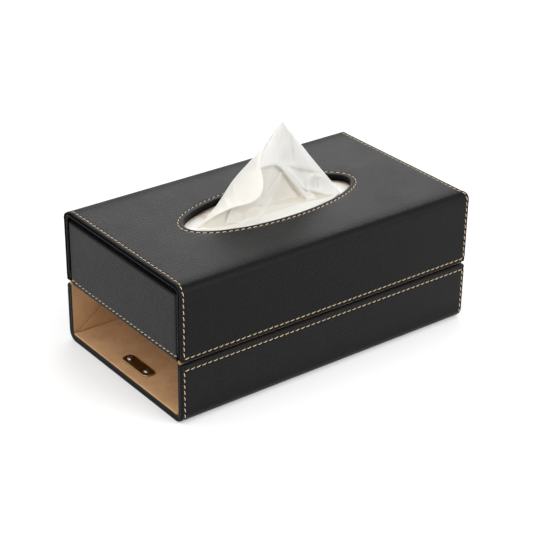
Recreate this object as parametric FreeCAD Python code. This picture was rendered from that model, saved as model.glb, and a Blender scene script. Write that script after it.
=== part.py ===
"""Leather-covered tissue box: a drawer in its sleeve below, a lift-off tissue cover above.

Millimetres. X runs along the length with the drawer's open end at -X, Y across, Z up.
The origin is the middle of the underside. Leather is turned over board everywhere, the
bay and the drawer are lined with tan suede, and the bay lining stands up past the sleeve
as a neck on which the cover rests, so that a shadow gap shows between the two halves.
"""
import FreeCAD, Part
import math
import os

from FreeCAD import Vector

# Outer sizes
length = 250.0
width = 145.0
base_height = 45.1
shadow_gap = 2.6
cover_height = 54.3
base_corner_radius = 8.0
cover_corner_radius = 6.0

# Sheet materials
leather = 0.9
board = 2.6
facing = 0.8
edge_roll = 1.4
inner_edge_bevel = 0.7
inner_corner_radius = 1.0

# Suede lining of the bay, which stands up as the neck
neck_wall = 1.4
lining_floor = 1.4
lining_corner_radius = 1.2
lining_setback = 0.9
neck_reach = 2.5
binding_thickness = 0.8

# End panels of the cover and the closed rear end of the sleeve
panel_recess = 1.1
panel_edge_bevel = 0.8
panel_low_corner = 2.5
panel_high_corner = 1.2
panel_drop = 2.3
panel_side_gap = 0.8
panel_top_gap = 3.3
backing_board = 1.2
glue_gap = 0.1
end_gap = 0.2

# Deck between the drawer bay and the tissues
deck_core = 1.6
suede = 0.4
deck_end_gap = 0.3

# Dispensing hole
hole_half_length = 71.0
hole_half_width = 26.5
hole_edge_bevel = 0.8
lining_hole_gap = 0.1

# Drawer
drawer_side_gap = 0.4
drawer_floor_gap = 0.2
drawer_top_gap = 1.0
drawer_back_gap = 0.3
drawer_wall = 1.8
drawer_floor = 0.9
drawer_corner_radius = 1.0
drawer_setback = 0.7
drawer_nose = 3.5
rake_angle = 38.0

# Pull plate, its two rivets and their washers
plate_length = 32.5
plate_width = 10.0
plate_thickness = 1.0
plate_corner_radius = 3.6
plate_edge_bevel = 0.3
plate_setback = 7.3
rivet_spacing = 21.0
rivet_head_radius = 2.2
rivet_head_height = 1.3
rivet_shank_radius = 1.0
rivet_hole_gap = 0.05
washer_radius = 2.5
washer_thickness = 0.35
washer_recess_gap = 0.1

# Tissues
pack_end_gap = 5.4
pack_side_gap = 10.1
pack_head_gap = 1.9
pack_corner_radius = 3.0
pack_edge_bevel = 1.5
sheet_clearance = 0.3
sheet_end_gap = 11.0
sheet_side_gap = 8.5
sheet_waist_rise = 6.0
sheet_shoulder_rise = 26.0
sheet_shoulder_half_length = 37.0
sheet_shoulder_half_width = 12.0
sheet_peak_rise = 65.5
sheet_peak_radius = 1.2
sheet_peak_x = 9.0
sheet_peak_y = -2.0
sheet_sides = 16

# Places that follow from the sizes above
half_length = length / 2
half_width = width / 2
shell = board + leather
cover_low = base_height + shadow_gap
cover_top = cover_low + cover_height
inner_half_width = half_width - shell
roof_low = cover_top - shell
neck_half_width = inner_half_width - neck_wall
neck_top = base_height + neck_reach
bay_floor = shell + lining_floor
panel_front = half_length - panel_recess
panel_back = panel_front - shell
panel_low = neck_top - panel_drop
deck_thickness = deck_core + 2 * suede
deck_low = neck_top - deck_thickness
drawer_half_width = neck_half_width - drawer_side_gap
drawer_low = bay_floor + drawer_floor_gap
drawer_top = deck_low - drawer_top_gap
drawer_front = half_length - drawer_setback
drawer_back = panel_back - drawer_back_gap
drawer_floor_top = drawer_low + drawer_floor
tray_floor = drawer_floor_top + suede
pack_half_length = panel_back - pack_end_gap
pack_half_width = neck_half_width - pack_side_gap
pack_top = roof_low - neck_wall - pack_head_gap
sheet_foot_half_length = hole_half_length - sheet_end_gap
sheet_foot_half_width = hole_half_width - sheet_side_gap
far = 2 * length


def block(x0, x1, y0, y1, z0, z1):
    """Box between two opposite corners."""
    return Part.makeBox(x1 - x0, y1 - y0, z1 - z0, Vector(x0, y0, z0))


def edges_of(shape, wanted):
    """Edges whose bounding box the test accepts."""
    return [edge for edge in shape.Edges if wanted(edge.BoundBox)]


def at(value, target):
    """True where a coordinate equals its target."""
    return abs(value - target) < 1e-4


def channel(x0, x1, half, z0, z1, low_radius=0.0, high_radius=0.0):
    """Bar along X, centred on Y = 0, with its two low and its two high long edges rounded."""
    bar = block(x0, x1, -half, half, z0, z1)
    for z, radius in ((z0, low_radius), (z1, high_radius)):
        if radius > 0:
            long_edges = edges_of(bar, lambda b: at(b.ZMin, z) and at(b.ZMax, z)
                                  and b.XLength > b.YLength + b.ZLength)
            bar = bar.makeFillet(radius, long_edges)
    return bar


def rolled_shell(outer, cavity, open_z):
    """Channel wall whose ends and open edges are rolled round, as leather is over board."""
    outside = edges_of(outer, lambda b: at(abs(b.XMin), half_length) and b.XLength < 1e-6)
    outside += edges_of(outer, lambda b: at(b.ZMin, open_z) and at(b.ZMax, open_z)
                        and b.YLength < 1e-6 and b.XLength > 1)
    wall = outer.makeFillet(edge_roll, outside).cut(cavity)
    inside = [edge for edge in wall.Edges
              if any(at(edge.distToShape(face)[0], 0) and on_face(edge, face)
                     for face in cavity.Faces if face.BoundBox.XLength > length)
              and not runs_inside(edge)]
    return wall.makeChamfer(inner_edge_bevel, inside)


def on_face(edge, face):
    """True where both ends and the middle of an edge lie on a face."""
    steps = [edge.FirstParameter + k * (edge.LastParameter - edge.FirstParameter) / 2
             for k in range(3)]
    return all(Part.Vertex(edge.valueAt(step)).distToShape(face)[0] < 1e-4 for step in steps)


def runs_inside(edge):
    """True for the seams between the flat and round faces of the cavity itself."""
    normals_agree = edge.BoundBox.XLength > length - 4 * edge_roll
    return normals_agree and abs(edge.CenterOfMass.y) < inner_half_width - 1e-3


def ellipse_bar(half_x, half_y, z0, z1):
    """Upright bar of elliptical section on the Z axis."""
    ring = Part.Ellipse(Vector(0, 0, z0), half_x, half_y)
    face = Part.Face(Part.Wire(ring.toShape()))
    return face.extrude(Vector(0, 0, z1 - z0))


def panel(side, half, z0, z1, low_corner, high_corner):
    """Board and its leather, which is turned round all four edges and leaves the back open."""
    skin = channel(panel_back, panel_front, half, z0, z1, low_corner, high_corner)
    front = edges_of(skin, lambda b: at(b.XMin, panel_front) and at(b.XMax, panel_front))
    skin = skin.makeChamfer(panel_edge_bevel, front)
    core = channel(panel_back, panel_front - leather, half - leather, z0 + leather,
                   z1 - leather, max(low_corner - leather, 0), max(high_corner - leather, 0))
    skin = skin.cut(core)
    if side < 0:
        core = core.mirror(Vector(0, 0, 0), Vector(1, 0, 0))
        skin = skin.mirror(Vector(0, 0, 0), Vector(1, 0, 0))
    return core, skin


def sleeve():
    """Board channel of the base and the leather that wraps it."""
    cavity = channel(-far, far, inner_half_width, shell, far, inner_corner_radius)
    outer = channel(-half_length, half_length, half_width, 0, base_height, base_corner_radius)
    core = channel(-half_length + leather, half_length - leather, half_width - leather,
                   leather, base_height - leather, base_corner_radius - leather).cut(cavity)
    skin = rolled_shell(outer, cavity, base_height).cut(core)
    return core, skin


def bay_lining():
    """Suede-covered channel that lines the bay and stands up past the sleeve as the neck."""
    x = half_length - lining_setback
    outer = channel(-x, x, inner_half_width, shell, neck_top, inner_corner_radius)
    bay = channel(-far, far, neck_half_width, bay_floor, far, lining_corner_radius)
    return outer.cut(bay)


def bay_end_bindings():
    """Leather strips that cover the end edges of the bay lining up to the top of the sleeve."""
    x = half_length - lining_setback
    bay = channel(-far, far, neck_half_width, bay_floor, far, lining_corner_radius)
    strips = []
    for x0, x1 in ((-x - binding_thickness, -x), (x, x + binding_thickness)):
        strip = channel(x0, x1, inner_half_width, shell, base_height, inner_corner_radius)
        strips.append(strip.cut(bay))
    return Part.makeCompound(strips)


def deck():
    """Thin board under the tissues, with suede wrapped over its faces and both end edges."""
    x = panel_back - deck_end_gap
    wrap = block(-x, x, -neck_half_width, neck_half_width, deck_low, neck_top)
    core = block(-x + suede, x - suede, -neck_half_width, neck_half_width,
                 deck_low + suede, neck_top - suede)
    return core, wrap.cut(core)


def cover():
    """Board channel of the cover and the leather turned over every edge and down the hole."""
    cavity = channel(-far, far, inner_half_width, -far, roof_low, 0,
                     cover_corner_radius - shell)
    outer = channel(-half_length, half_length, half_width, cover_low, cover_top, 0,
                    cover_corner_radius)
    hole = ellipse_bar(hole_half_length, hole_half_width, 0, far)
    wide_hole = ellipse_bar(hole_half_length + leather, hole_half_width + leather, 0, far)
    core = channel(-half_length + leather, half_length - leather, half_width - leather,
                   cover_low + leather, cover_top - leather, 0, cover_corner_radius - leather)
    core = core.cut(cavity).cut(wide_hole)
    skin = rolled_shell(outer, cavity, cover_low).cut(hole)
    rim = edges_of(skin, lambda b: at(b.ZMin, cover_top) and at(b.ZMax, cover_top)
                   and b.YLength > hole_half_width and b.XLength < 2 * hole_half_length + 1)
    skin = skin.makeChamfer(hole_edge_bevel, rim).cut(core)
    collar = ellipse_bar(hole_half_length + leather, hole_half_width + leather,
                         roof_low - neck_wall, roof_low).cut(hole)
    return core, skin.fuse(collar).removeSplitter()


def cover_facings():
    """Inner leather strips that back the stitched ends of the cover, one at each end."""
    strips = []
    for x0, x1 in ((-half_length + leather / 2, -panel_back), (panel_back, half_length - leather / 2)):
        outer = channel(x0, x1, inner_half_width, cover_low + end_gap, roof_low, 0,
                        cover_corner_radius - shell)
        inner = channel(x0, x1, inner_half_width - facing, 0, roof_low - facing, 0,
                        cover_corner_radius - shell - facing)
        strips.append(outer.cut(inner))
    return Part.makeCompound(strips)


def cover_lining():
    """Inner channel of the cover: its low edges rest on the neck."""
    x = panel_back - end_gap
    outer = channel(-x, x, inner_half_width, neck_top, roof_low, 0, cover_corner_radius - shell)
    inner = channel(-far, far, neck_half_width, 0, roof_low - neck_wall, 0,
                    cover_corner_radius - shell - neck_wall)
    margin = leather + lining_hole_gap
    hole = ellipse_bar(hole_half_length + margin, hole_half_width + margin, 0, far)
    return outer.cut(inner).cut(hole)


def end_backing(side):
    """Thin covered board inside an end of the cover, which carries the recessed panel."""
    x = side * panel_back
    inner = x - side * backing_board
    return channel(min(x, inner), max(x, inner), neck_half_width - glue_gap, cover_low + end_gap,
                   roof_low - neck_wall - glue_gap, 0,
                   cover_corner_radius - shell - neck_wall)


def drawer_boards():
    """Floor, two sides with raked fronts, and back of the open-fronted drawer."""
    tray = channel(-drawer_front, drawer_back, drawer_half_width, drawer_low, drawer_top,
                   drawer_corner_radius)
    inner_half = drawer_half_width - drawer_wall
    floor = tray.common(block(-far, far, -far, far, -far, drawer_floor_top))
    back = block(drawer_back - drawer_wall, drawer_back, -inner_half, inner_half,
                 drawer_floor_top, drawer_top)
    nose = -drawer_front + drawer_nose
    run = (drawer_top - tray_floor) / math.tan(math.radians(rake_angle))
    profile = Part.makePolygon([Vector(nose, -far, drawer_floor_top),
                                Vector(nose, -far, tray_floor),
                                Vector(nose + run, -far, drawer_top),
                                Vector(drawer_back, -far, drawer_top),
                                Vector(drawer_back, -far, drawer_floor_top),
                                Vector(nose, -far, drawer_floor_top)])
    raked = Part.Face(profile).extrude(Vector(0, 2 * far, 0))
    upright = tray.common(raked)
    near = upright.common(block(-far, far, -far, -inner_half, -far, far))
    side = upright.common(block(-far, far, inner_half, far, -far, far))
    recess_radius = washer_radius + washer_recess_gap
    for y in rivet_places():
        hole = Part.makeCylinder(rivet_shank_radius + rivet_hole_gap, drawer_floor,
                                 Vector(plate_centre_x(), y, drawer_low))
        recess = Part.makeCylinder(recess_radius, washer_thickness + washer_recess_gap,
                                   Vector(plate_centre_x(), y, drawer_low))
        floor = floor.cut(hole).cut(recess)
    return floor, near, side, back


def plate_centre_x():
    """Middle of the pull plate along X."""
    return -drawer_front + plate_setback + plate_width / 2 - suede


def rivet_places():
    """Y of each rivet."""
    return (-rivet_spacing / 2, rivet_spacing / 2)


def drawer_suede():
    """Suede laid over the drawer floor and folded down over its front edge."""
    inner_half = drawer_half_width - drawer_wall
    sheet = block(-drawer_front, drawer_back - drawer_wall, -inner_half, inner_half,
                  drawer_floor_top, tray_floor)
    edge_half = drawer_half_width - drawer_corner_radius
    fold = block(-drawer_front - suede, -drawer_front, -edge_half, edge_half,
                 drawer_low, tray_floor)
    sheet = sheet.fuse(fold).removeSplitter()
    for y in rivet_places():
        hole = Part.makeCylinder(rivet_shank_radius + rivet_hole_gap, suede,
                                 Vector(plate_centre_x(), y, drawer_floor_top))
        sheet = sheet.cut(hole)
    return sheet


def pull_plate():
    """Flat metal plate with round corners, a softened rim and two rivet holes."""
    x = plate_centre_x()
    plate = block(x - plate_width / 2, x + plate_width / 2, -plate_length / 2,
                  plate_length / 2, tray_floor, tray_floor + plate_thickness)
    corners = edges_of(plate, lambda b: b.ZLength > plate_thickness / 2)
    plate = plate.makeFillet(plate_corner_radius, corners)
    top = tray_floor + plate_thickness
    rim = edges_of(plate, lambda b: at(b.ZMin, top) and at(b.ZMax, top))
    plate = plate.makeChamfer(plate_edge_bevel, rim)
    for y in rivet_places():
        plate = plate.cut(Part.makeCylinder(rivet_shank_radius + rivet_hole_gap,
                                            plate_thickness, Vector(x, y, tray_floor)))
    return plate


def rivets():
    """Two domed rivets: a shallow dome on a plain shank, each turned about its own axis."""
    head_low = tray_floor + plate_thickness
    tail_low = drawer_low + washer_recess_gap / 2
    ball = (rivet_head_radius ** 2 + rivet_head_height ** 2) / (2 * rivet_head_height)
    lean = math.asin(rivet_head_radius / ball) / 2
    bodies = []
    for y in rivet_places():
        crown = Vector(plate_centre_x(), y, head_low + rivet_head_height)
        shoulder = crown + Vector(ball * math.sin(lean), 0, -ball * (1 - math.cos(lean)))
        rim = Vector(crown.x + rivet_head_radius, y, head_low)
        neck = Vector(crown.x + rivet_shank_radius, y, head_low)
        tail = Vector(neck.x, y, tail_low)
        tail_middle = Vector(crown.x, y, tail_low)
        dome = Part.Arc(crown, shoulder, rim).toShape()
        rest = Part.makePolygon([rim, neck, tail, tail_middle, crown])
        profile = Part.Face(Part.Wire([dome] + rest.Edges))
        bodies.append(profile.revolve(crown, Vector(0, 0, 1), 360))
    return Part.makeCompound(bodies)


def washers():
    """Two flat washers in their recesses under the drawer floor."""
    rings = []
    for y in rivet_places():
        low = Vector(plate_centre_x(), y, drawer_low + washer_recess_gap)
        disc = Part.makeCylinder(washer_radius, washer_thickness, low)
        bore = Part.makeCylinder(rivet_shank_radius + rivet_hole_gap, washer_thickness, low)
        rings.append(disc.cut(bore))
    return Part.makeCompound(rings)


def tissue_pack():
    """Folded stack of tissues, standing on the deck."""
    pack = block(-pack_half_length, pack_half_length, -pack_half_width, pack_half_width,
                 neck_top, pack_top)
    upright = edges_of(pack, lambda b: at(b.ZMin, neck_top) and at(b.ZMax, pack_top))
    pack = pack.makeFillet(pack_corner_radius, upright)
    rim = edges_of(pack, lambda b: at(b.ZMin, pack_top) and at(b.ZMax, pack_top))
    return pack.makeChamfer(pack_edge_bevel, rim)


def tissue_sheet():
    """Popped-up tissue: a tall faceted cone whose foot stays inside the hole."""
    foot = pack_top + sheet_clearance
    turns = [2 * math.pi * side / sheet_sides for side in range(sheet_sides)]

    def ring(x, y, rise, half_x, half_y):
        return [Vector(x + half_x * math.cos(turn), y + half_y * math.sin(turn), foot + rise)
                for turn in turns]

    rings = [ring(0, 0, 0, sheet_foot_half_length, sheet_foot_half_width),
             ring(0, 0, sheet_waist_rise, sheet_foot_half_length, sheet_foot_half_width),
             ring(sheet_peak_x / 2, sheet_peak_y / 2, sheet_shoulder_rise,
                  sheet_shoulder_half_length, sheet_shoulder_half_width),
             ring(sheet_peak_x, sheet_peak_y, sheet_peak_rise,
                  sheet_peak_radius, sheet_peak_radius)]
    corners = [rings[0], rings[-1]]
    for low, high in zip(rings, rings[1:]):
        for side in range(sheet_sides):
            after = (side + 1) % sheet_sides
            corners.append([low[side], low[after], high[after]])
            corners.append([low[side], high[after], high[side]])
    faces = [Part.Face(Part.makePolygon(loop + loop[:1])) for loop in corners]
    return Part.Solid(Part.Shell(faces))


def write(name, shape):
    """One STEP file per piece."""
    if not shape.isValid():
        print("not valid:", name)
    solids = [round(solid.Volume, 1) for solid in shape.Solids]
    print(name, "solids", solids)
    shape.exportStep(os.path.join("parts", name + ".step"))


os.makedirs("parts", exist_ok=True)

base_board, base_leather = sleeve()
deck_board, deck_suede = deck()
cover_board, cover_leather = cover()
rear_board, rear_leather = panel(1, neck_half_width - glue_gap, bay_floor + glue_gap,
                                 base_height - end_gap, lining_corner_radius - glue_gap,
                                 panel_high_corner)
panel_half = neck_half_width - panel_side_gap
panel_top = roof_low - facing - panel_top_gap
front_end = panel(-1, panel_half, panel_low, panel_top, panel_low_corner, panel_high_corner)
rear_end = panel(1, panel_half, panel_low, panel_top, panel_low_corner, panel_high_corner)
floor_board, near_side, far_side, back_board = drawer_boards()

pieces = {
    "base_board": base_board,
    "base_leather": base_leather,
    "bay_lining": bay_lining(),
    "bay_end_bindings": bay_end_bindings(),
    "base_rear_board": rear_board,
    "base_rear_leather": rear_leather,
    "deck_board": deck_board,
    "deck_suede": deck_suede,
    "tissue_pack": tissue_pack(),
    "cover_board": cover_board,
    "cover_leather": cover_leather,
    "cover_end_facings": cover_facings(),
    "cover_lining": cover_lining(),
    "front_end_backing": end_backing(-1),
    "rear_end_backing": end_backing(1),
    "front_panel_board": front_end[0],
    "front_panel_leather": front_end[1],
    "rear_panel_board": rear_end[0],
    "rear_panel_leather": rear_end[1],
    "drawer_floor_board": floor_board,
    "drawer_side_near": near_side,
    "drawer_side_far": far_side,
    "drawer_back": back_board,
    "drawer_suede": drawer_suede(),
    "pull_plate": pull_plate(),
    "pull_rivets": rivets(),
    "rivet_washers": washers(),
    "tissue_sheet": tissue_sheet(),
}
for name, shape in pieces.items():
    write(name, shape)
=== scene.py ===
import math

import bpy
import numpy as np
from mathutils import Matrix, Vector


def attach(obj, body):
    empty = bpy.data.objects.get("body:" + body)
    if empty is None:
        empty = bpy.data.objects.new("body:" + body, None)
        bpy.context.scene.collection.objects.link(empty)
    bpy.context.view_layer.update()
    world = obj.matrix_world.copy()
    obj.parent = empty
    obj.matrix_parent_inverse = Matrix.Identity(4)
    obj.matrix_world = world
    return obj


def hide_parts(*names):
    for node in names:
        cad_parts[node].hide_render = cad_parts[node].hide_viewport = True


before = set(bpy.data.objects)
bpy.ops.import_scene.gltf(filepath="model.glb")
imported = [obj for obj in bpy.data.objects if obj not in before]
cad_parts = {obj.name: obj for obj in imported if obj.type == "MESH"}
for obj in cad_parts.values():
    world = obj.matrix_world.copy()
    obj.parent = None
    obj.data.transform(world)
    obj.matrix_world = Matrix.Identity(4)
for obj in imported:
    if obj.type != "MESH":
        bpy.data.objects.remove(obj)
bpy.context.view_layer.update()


# ---------------------------------------------------------------------------
# Boards. Every wall is fibreboard: the two channels, the end panels, the deck
# and the drawer floor. They are cut square, glued, and hidden by their covers.
# ---------------------------------------------------------------------------

board_nodes = ("base_board", "base_rear_board", "deck_board", "cover_board",
               "front_panel_board", "rear_panel_board", "drawer_floor_board")
board_pale = (0.36, 0.27, 0.17, 1)
board_dark = (0.22, 0.155, 0.09, 1)


def node(tree, kind, ins=None, **props):
    """One shader node: its properties, and its inputs as numbers or other nodes' outputs."""
    made = tree.nodes.new("ShaderNode" + kind)
    for key, value in props.items():
        setattr(made, key, value)
    for key, value in (ins or {}).items():
        if isinstance(value, bpy.types.NodeSocket):
            tree.links.new(value, made.inputs[key])
        else:
            made.inputs[key].default_value = value
    return made


def noise(tree, where, scale, detail=2.0, roughness=0.5, distortion=0.0):
    """Soft random pattern from 0 to 1, whose blots are about 1 / scale metres across."""
    return node(tree, "TexNoise", {"Vector": where, "Scale": scale, "Detail": detail,
                                   "Roughness": roughness,
                                   "Distortion": distortion}).outputs[0]


def on_piece(tree):
    """Place on the finished piece, in metres from the part's own origin."""
    return node(tree, "TexCoord").outputs["Object"]


def maths(tree, operation, first, second=0.0):
    """Sum, product, power or the like of two numbers."""
    return node(tree, "Math", {0: first, 1: second}, operation=operation).outputs[0]


def between(tree, share, first, second):
    """Colour that goes from first to second as share goes from 0 to 1."""
    return node(tree, "Mix", {0: share, 6: first, 7: second}, data_type="RGBA").outputs[2]


def spread(tree, value, low, high, to_low=0.0, to_high=1.0):
    """Value stretched so that low becomes to_low and high becomes to_high, clamped."""
    return node(tree, "MapRange", {"Value": value, "From Min": low, "From Max": high,
                                   "To Min": to_low, "To Max": to_high}).outputs[0]


def feed(tree, target, **values):
    """Joins outputs of nodes to the target's sockets of those names."""
    for key, value in values.items():
        tree.links.new(value, target.inputs[key.replace("_", " ")])


def finish_of(name, **fixed):
    """Material with one Principled shader whose even values are set on its own sockets."""
    material = bpy.data.materials.new(name)
    material.use_nodes = True
    tree = material.node_tree
    shader = tree.nodes["Principled BSDF"]
    for key, value in fixed.items():
        shader.inputs[key.replace("_", " ")].default_value = value
    return material, tree, shader


def raise_surface(tree, shader, height, depth, strength=1.0):
    """Height feeds the shader's normal through a bump of that depth in metres."""
    bump = node(tree, "Bump", {"Height": height, "Distance": depth, "Strength": strength})
    feed(tree, shader, Normal=bump.outputs[0])


def dress(names, material):
    """Gives the record's own nodes a material in their slots."""
    for name in names:
        body = bpy.data.objects[name]
        if not body.material_slots:
            body.data.materials.append(material)
        for slot in body.material_slots:
            slot.material = material


# Fibre mottle: fine noise for the fibres over a broad noise for the pressing.
board_finish, tree, shader = finish_of("fibreboard", Roughness=0.9, Specular_IOR_Level=0.2)
fibres = noise(tree, on_piece(tree), 2200.0, 4.0, 0.65)
pressing = noise(tree, on_piece(tree), 90.0, 3.0, 0.55)
mottle = maths(tree, "MULTIPLY", maths(tree, "ADD", fibres, pressing), 0.5)
feed(tree, shader, Base_Color=between(tree, spread(tree, mottle, 0.35, 0.65),
                                      board_dark, board_pale))
raise_surface(tree, shader, maths(tree, "MULTIPLY", fibres, 0.7), 0.0002, 0.6)
dress(board_nodes, board_finish)


# ---------------------------------------------------------------------------
# Leather of the base. One sheet wraps the channel from edge to edge and is
# turned over all its borders, so the ends and the top edges are rolled round.
# ---------------------------------------------------------------------------

MM = 0.001    # all sizes are in millimetres, and each mesh is made in metres

half_length, half_width, base_height = 125.0, 72.5, 45.1
base_corner, base_inner_corner = 8.0, 1.0
wall, leather_thickness = 3.5, 0.9
edge_roll, top_roll, foot_roll = 1.2, 1.0, 0.45
sheet_corner = 2.2
end_inset, base_inset = 2.4, 3.9

leather_black = (0.0043, 0.0043, 0.0047, 1)
leather_worn = (0.0137, 0.0133, 0.013, 1)
shade_ink_black, shade_ink_worn = (0.0012, 0.0012, 0.0013, 1), (0.003, 0.003, 0.003, 1)
shade_black = (0.001, 0.001, 0.001, 1)

near_border = (0, 0.1, 0.35, 0.7, 1.0, 1.4, 2.0, 2.5, 2.9, 3.3, 3.7, 4.1, 4.7, 5.8, 7.4)
# The turned edge from the outside in: how deep in from the border, how far off the outer
# surface, and 1 where it is inked black, as painted shade in the shadow gap.
turned_edge = ((0, -1.4, 0), (0, -1.6, 0), (0, -1.9, 1), (0, -2.9, 1), (0.1, -3.2, 1),
               (0.2, -3.35, 1), (0.35, -3.42, 1), (0.5, -3.46, 1), (0.7, -3.5, 1),
               (0.85, -3.5, 1), (0.88, -3.5, 1), (0.92, -leather_thickness, 0))
# Painted shade: darker on the end faces from the given X on, and darker towards the table
# within the given height, where shade falls.
end_shade_amount, end_shade_x, low_shade_amount, low_shade_height = 0.5, 124.2, 0.35, 10.0


def stations(marks, steps):
    """Rising numbers through all the marks, in equal steps near the length of each gap."""
    runs = [np.linspace(a, b, max(1, round((b - a) / step)) + 1)[:-1]
            for a, b, step in zip(marks, marks[1:], steps)]
    return np.append(np.concatenate(runs), marks[-1])


def both_borders(total, marks, steps):
    """Stations close together at both borders, with the marks of one half mirrored."""
    first = np.append(near_border[:-1], stations((near_border[-1],) + marks, steps))
    return np.append(first, total - first[::-1][1 if marks[-1] * 2 == total else 0:])


def inner_reach(turn, half, radius):
    """Distance from a corner's centre to a square inner corner half that wide, rounded to
    radius: half / max(cos, sin) on its flats, and the far crossing with the small circle
    round (core, core), core = half - radius, in between."""
    cosine, sine = np.cos(turn), np.sin(turn)
    core = half - radius
    flat = half / np.maximum(cosine, sine)
    curved = core * (cosine + sine) + np.sqrt(
        np.maximum(radius ** 2 - core ** 2 * (cosine - sine) ** 2, 0))
    return np.where(flat * np.minimum(cosine, sine) > core, curved, flat)


def channel_line(along, off, half, height, corner, inner=None):
    """Round the channel's outside: up one side, round a corner of that radius, across, and
    down the other. Gives Y, and the distance from the open edge; off is outward. With an
    inner radius, off runs from the outer corner to the inner one over the wall."""
    side, bend = height - corner, math.pi / 2 * corner
    total = 2 * (side + bend + half - corner)
    near = along < total / 2
    way = np.where(near, along, total - along)
    turn = np.clip((way - side) / corner, 0, math.pi / 2)
    reach = corner + off
    if inner is not None:
        reach = corner + off * (corner - inner_reach(turn, corner - wall, inner)) / wall
    y = half - corner + reach * np.cos(turn)
    rise = np.minimum(way, side) + reach * np.sin(turn)
    y = np.where(way > side + bend, half - corner - (way - side - bend), y)
    rise = np.where(way > side + bend, height + off, rise)
    return np.where(near, -y, y), rise


def base_place(a, s, off):
    """Point of the base's leather: a along X, s round the channel, off outward."""
    y, drop = channel_line(s, off, half_width, base_height, base_corner, base_inner_corner)
    return np.stack([a - half_length + 0 * y, y, base_height - drop], -1)


def hump(away, width):
    """Bell of height 1 at 0, e to the power of minus the square of away over width."""
    return np.exp(-(away / width) ** 2)


def seam_groove(depth, inset, groove=0.32, dip=0.10, narrow=0.5, wide=1.5):
    """Leather drawn down along a seam: a narrow groove in a wide shallow dip."""
    return -groove * hump(depth - inset, narrow) - dip * hump(depth - inset, wide)


def from_border(s, total):
    """Distance to the nearer of both borders."""
    return np.minimum(s, total - s)


def rounded_corner(a, s, size_a, size_s, radius):
    """Pulls the square corners of a sheet in to that radius. Inside a corner's square the
    offsets (u, v) become (u, v) * max(u, v) / length(u, v), which turns squares to circles."""
    u, v = radius - from_border(a, size_a), radius - from_border(s, size_s)
    inside = (u > 0) & (v > 0)
    long = np.where(inside, np.hypot(u, v), 1)
    k = np.where(inside, np.maximum(u, v) / np.maximum(long, 1e-9), 1)
    new_a, new_s = radius - u * k, radius - v * k
    return (np.where(inside, np.where(a < size_a / 2, new_a, size_a - new_a), a),
            np.where(inside, np.where(s < size_s / 2, new_s, size_s - new_s), s))


def rolled(depth, roll):
    """How far the surface falls at that depth in from a border rolled to a radius."""
    left = np.clip(roll - depth, 0, roll)
    return np.sqrt(roll ** 2 - left ** 2) - roll


def foot_rolls(s, side, bend, total):
    """Radius of the rolled edge at each station round the base: small under its floor."""
    return np.interp(from_border(s, total), (side + 0.3 * bend, side + bend),
                     (edge_roll, foot_roll))[None]


def turned_skin(a, s, place, radius, rolls, section, insets=None, ends=None, low_place=None):
    """Closed leather sheet on a grid of stations: its outer layer, its inner layer, and where
    both are inked black as painted shade. The outer layer is rolled at its borders and drawn
    down along its seams.
    The inner layer follows the section, a list of (depth, offset, inked), and along the two
    end borders the tables of depths and offsets that ends gives for each station s."""
    near_a = from_border(np.arange(len(a)), len(a) - 1)[:, None]
    near_s = from_border(np.arange(len(s)), len(s) - 1)[None]
    size_a, size_s = a[-1], s[-1]
    grid_a, grid_s = np.meshgrid(a, s, indexing="ij")
    in_a, in_s = from_border(grid_a, size_a), from_border(grid_s, size_s)
    corner = np.where(grid_s < size_s / 2, radius[0], radius[1])
    fall = np.minimum(rolled(in_a, rolls[0]), rolled(in_s, rolls[1]))
    if insets:
        fall += np.minimum(seam_groove(in_a, insets[0]), seam_groove(in_s, insets[1]))
    outer = place(*rounded_corner(grid_a, grid_s, size_a, size_s, corner), fall)
    steps, falls, shade_inked = (np.array(column) for column in zip(*section))
    count = len(steps)
    low_a, low_s = a.copy(), s.copy()
    for line, size in ((low_a, size_a), (low_s, size_s)):
        line[:count] = steps
        line[-count:] = size - steps[::-1]
    low_a, low_s = np.meshgrid(low_a, low_s, indexing="ij")
    ring = np.minimum(np.minimum(near_a, near_s), count - 1)
    by_end = near_a <= near_s
    low_fall, shade_ink = falls[ring], shade_inked[ring]
    if ends is None:
        shade_ink = shade_ink * ~by_end
    else:
        low_a[:count], low_a[-count:] = ends[0], size_a - ends[0][::-1]
        column = np.broadcast_to(np.arange(len(s)), ring.shape)
        low_fall = np.where(by_end, ends[1][ring, column], low_fall)
        shade_ink = np.where(by_end, ends[2][ring], shade_ink)
    rounded = rounded_corner(low_a, low_s, size_a, size_s, corner)
    inner = (low_place or place)(*rounded, low_fall)
    return outer, inner, np.concatenate([0 * shade_ink.ravel(), shade_ink.ravel()])


def quads(index):
    """Faces between neighbours of a two-way index table."""
    return np.stack([index[:-1, :-1], index[1:, :-1], index[1:, 1:], index[:-1, 1:]],
                    -1).reshape(-1, 4)


def border(index):
    """The table's outer loop, in order."""
    return np.concatenate([index[:-1, 0], index[-1, :-1], index[:0:-1, -1], index[0, :0:-1]])


def strip(first, second):
    """Faces between two loops of the same count."""
    return np.stack([first, np.roll(first, -1), np.roll(second, -1), second], -1)


def closed_sheet(outer, inner):
    """Points and faces of two layers on one grid, joined round their borders."""
    count = outer.shape[0] * outer.shape[1]
    top = np.arange(count).reshape(outer.shape[:2])
    low = top + count
    faces = np.concatenate([quads(top), quads(low)[:, ::-1], strip(border(low), border(top))])
    return np.concatenate([outer.reshape(-1, 3), inner.reshape(-1, 3)]), faces


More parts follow.
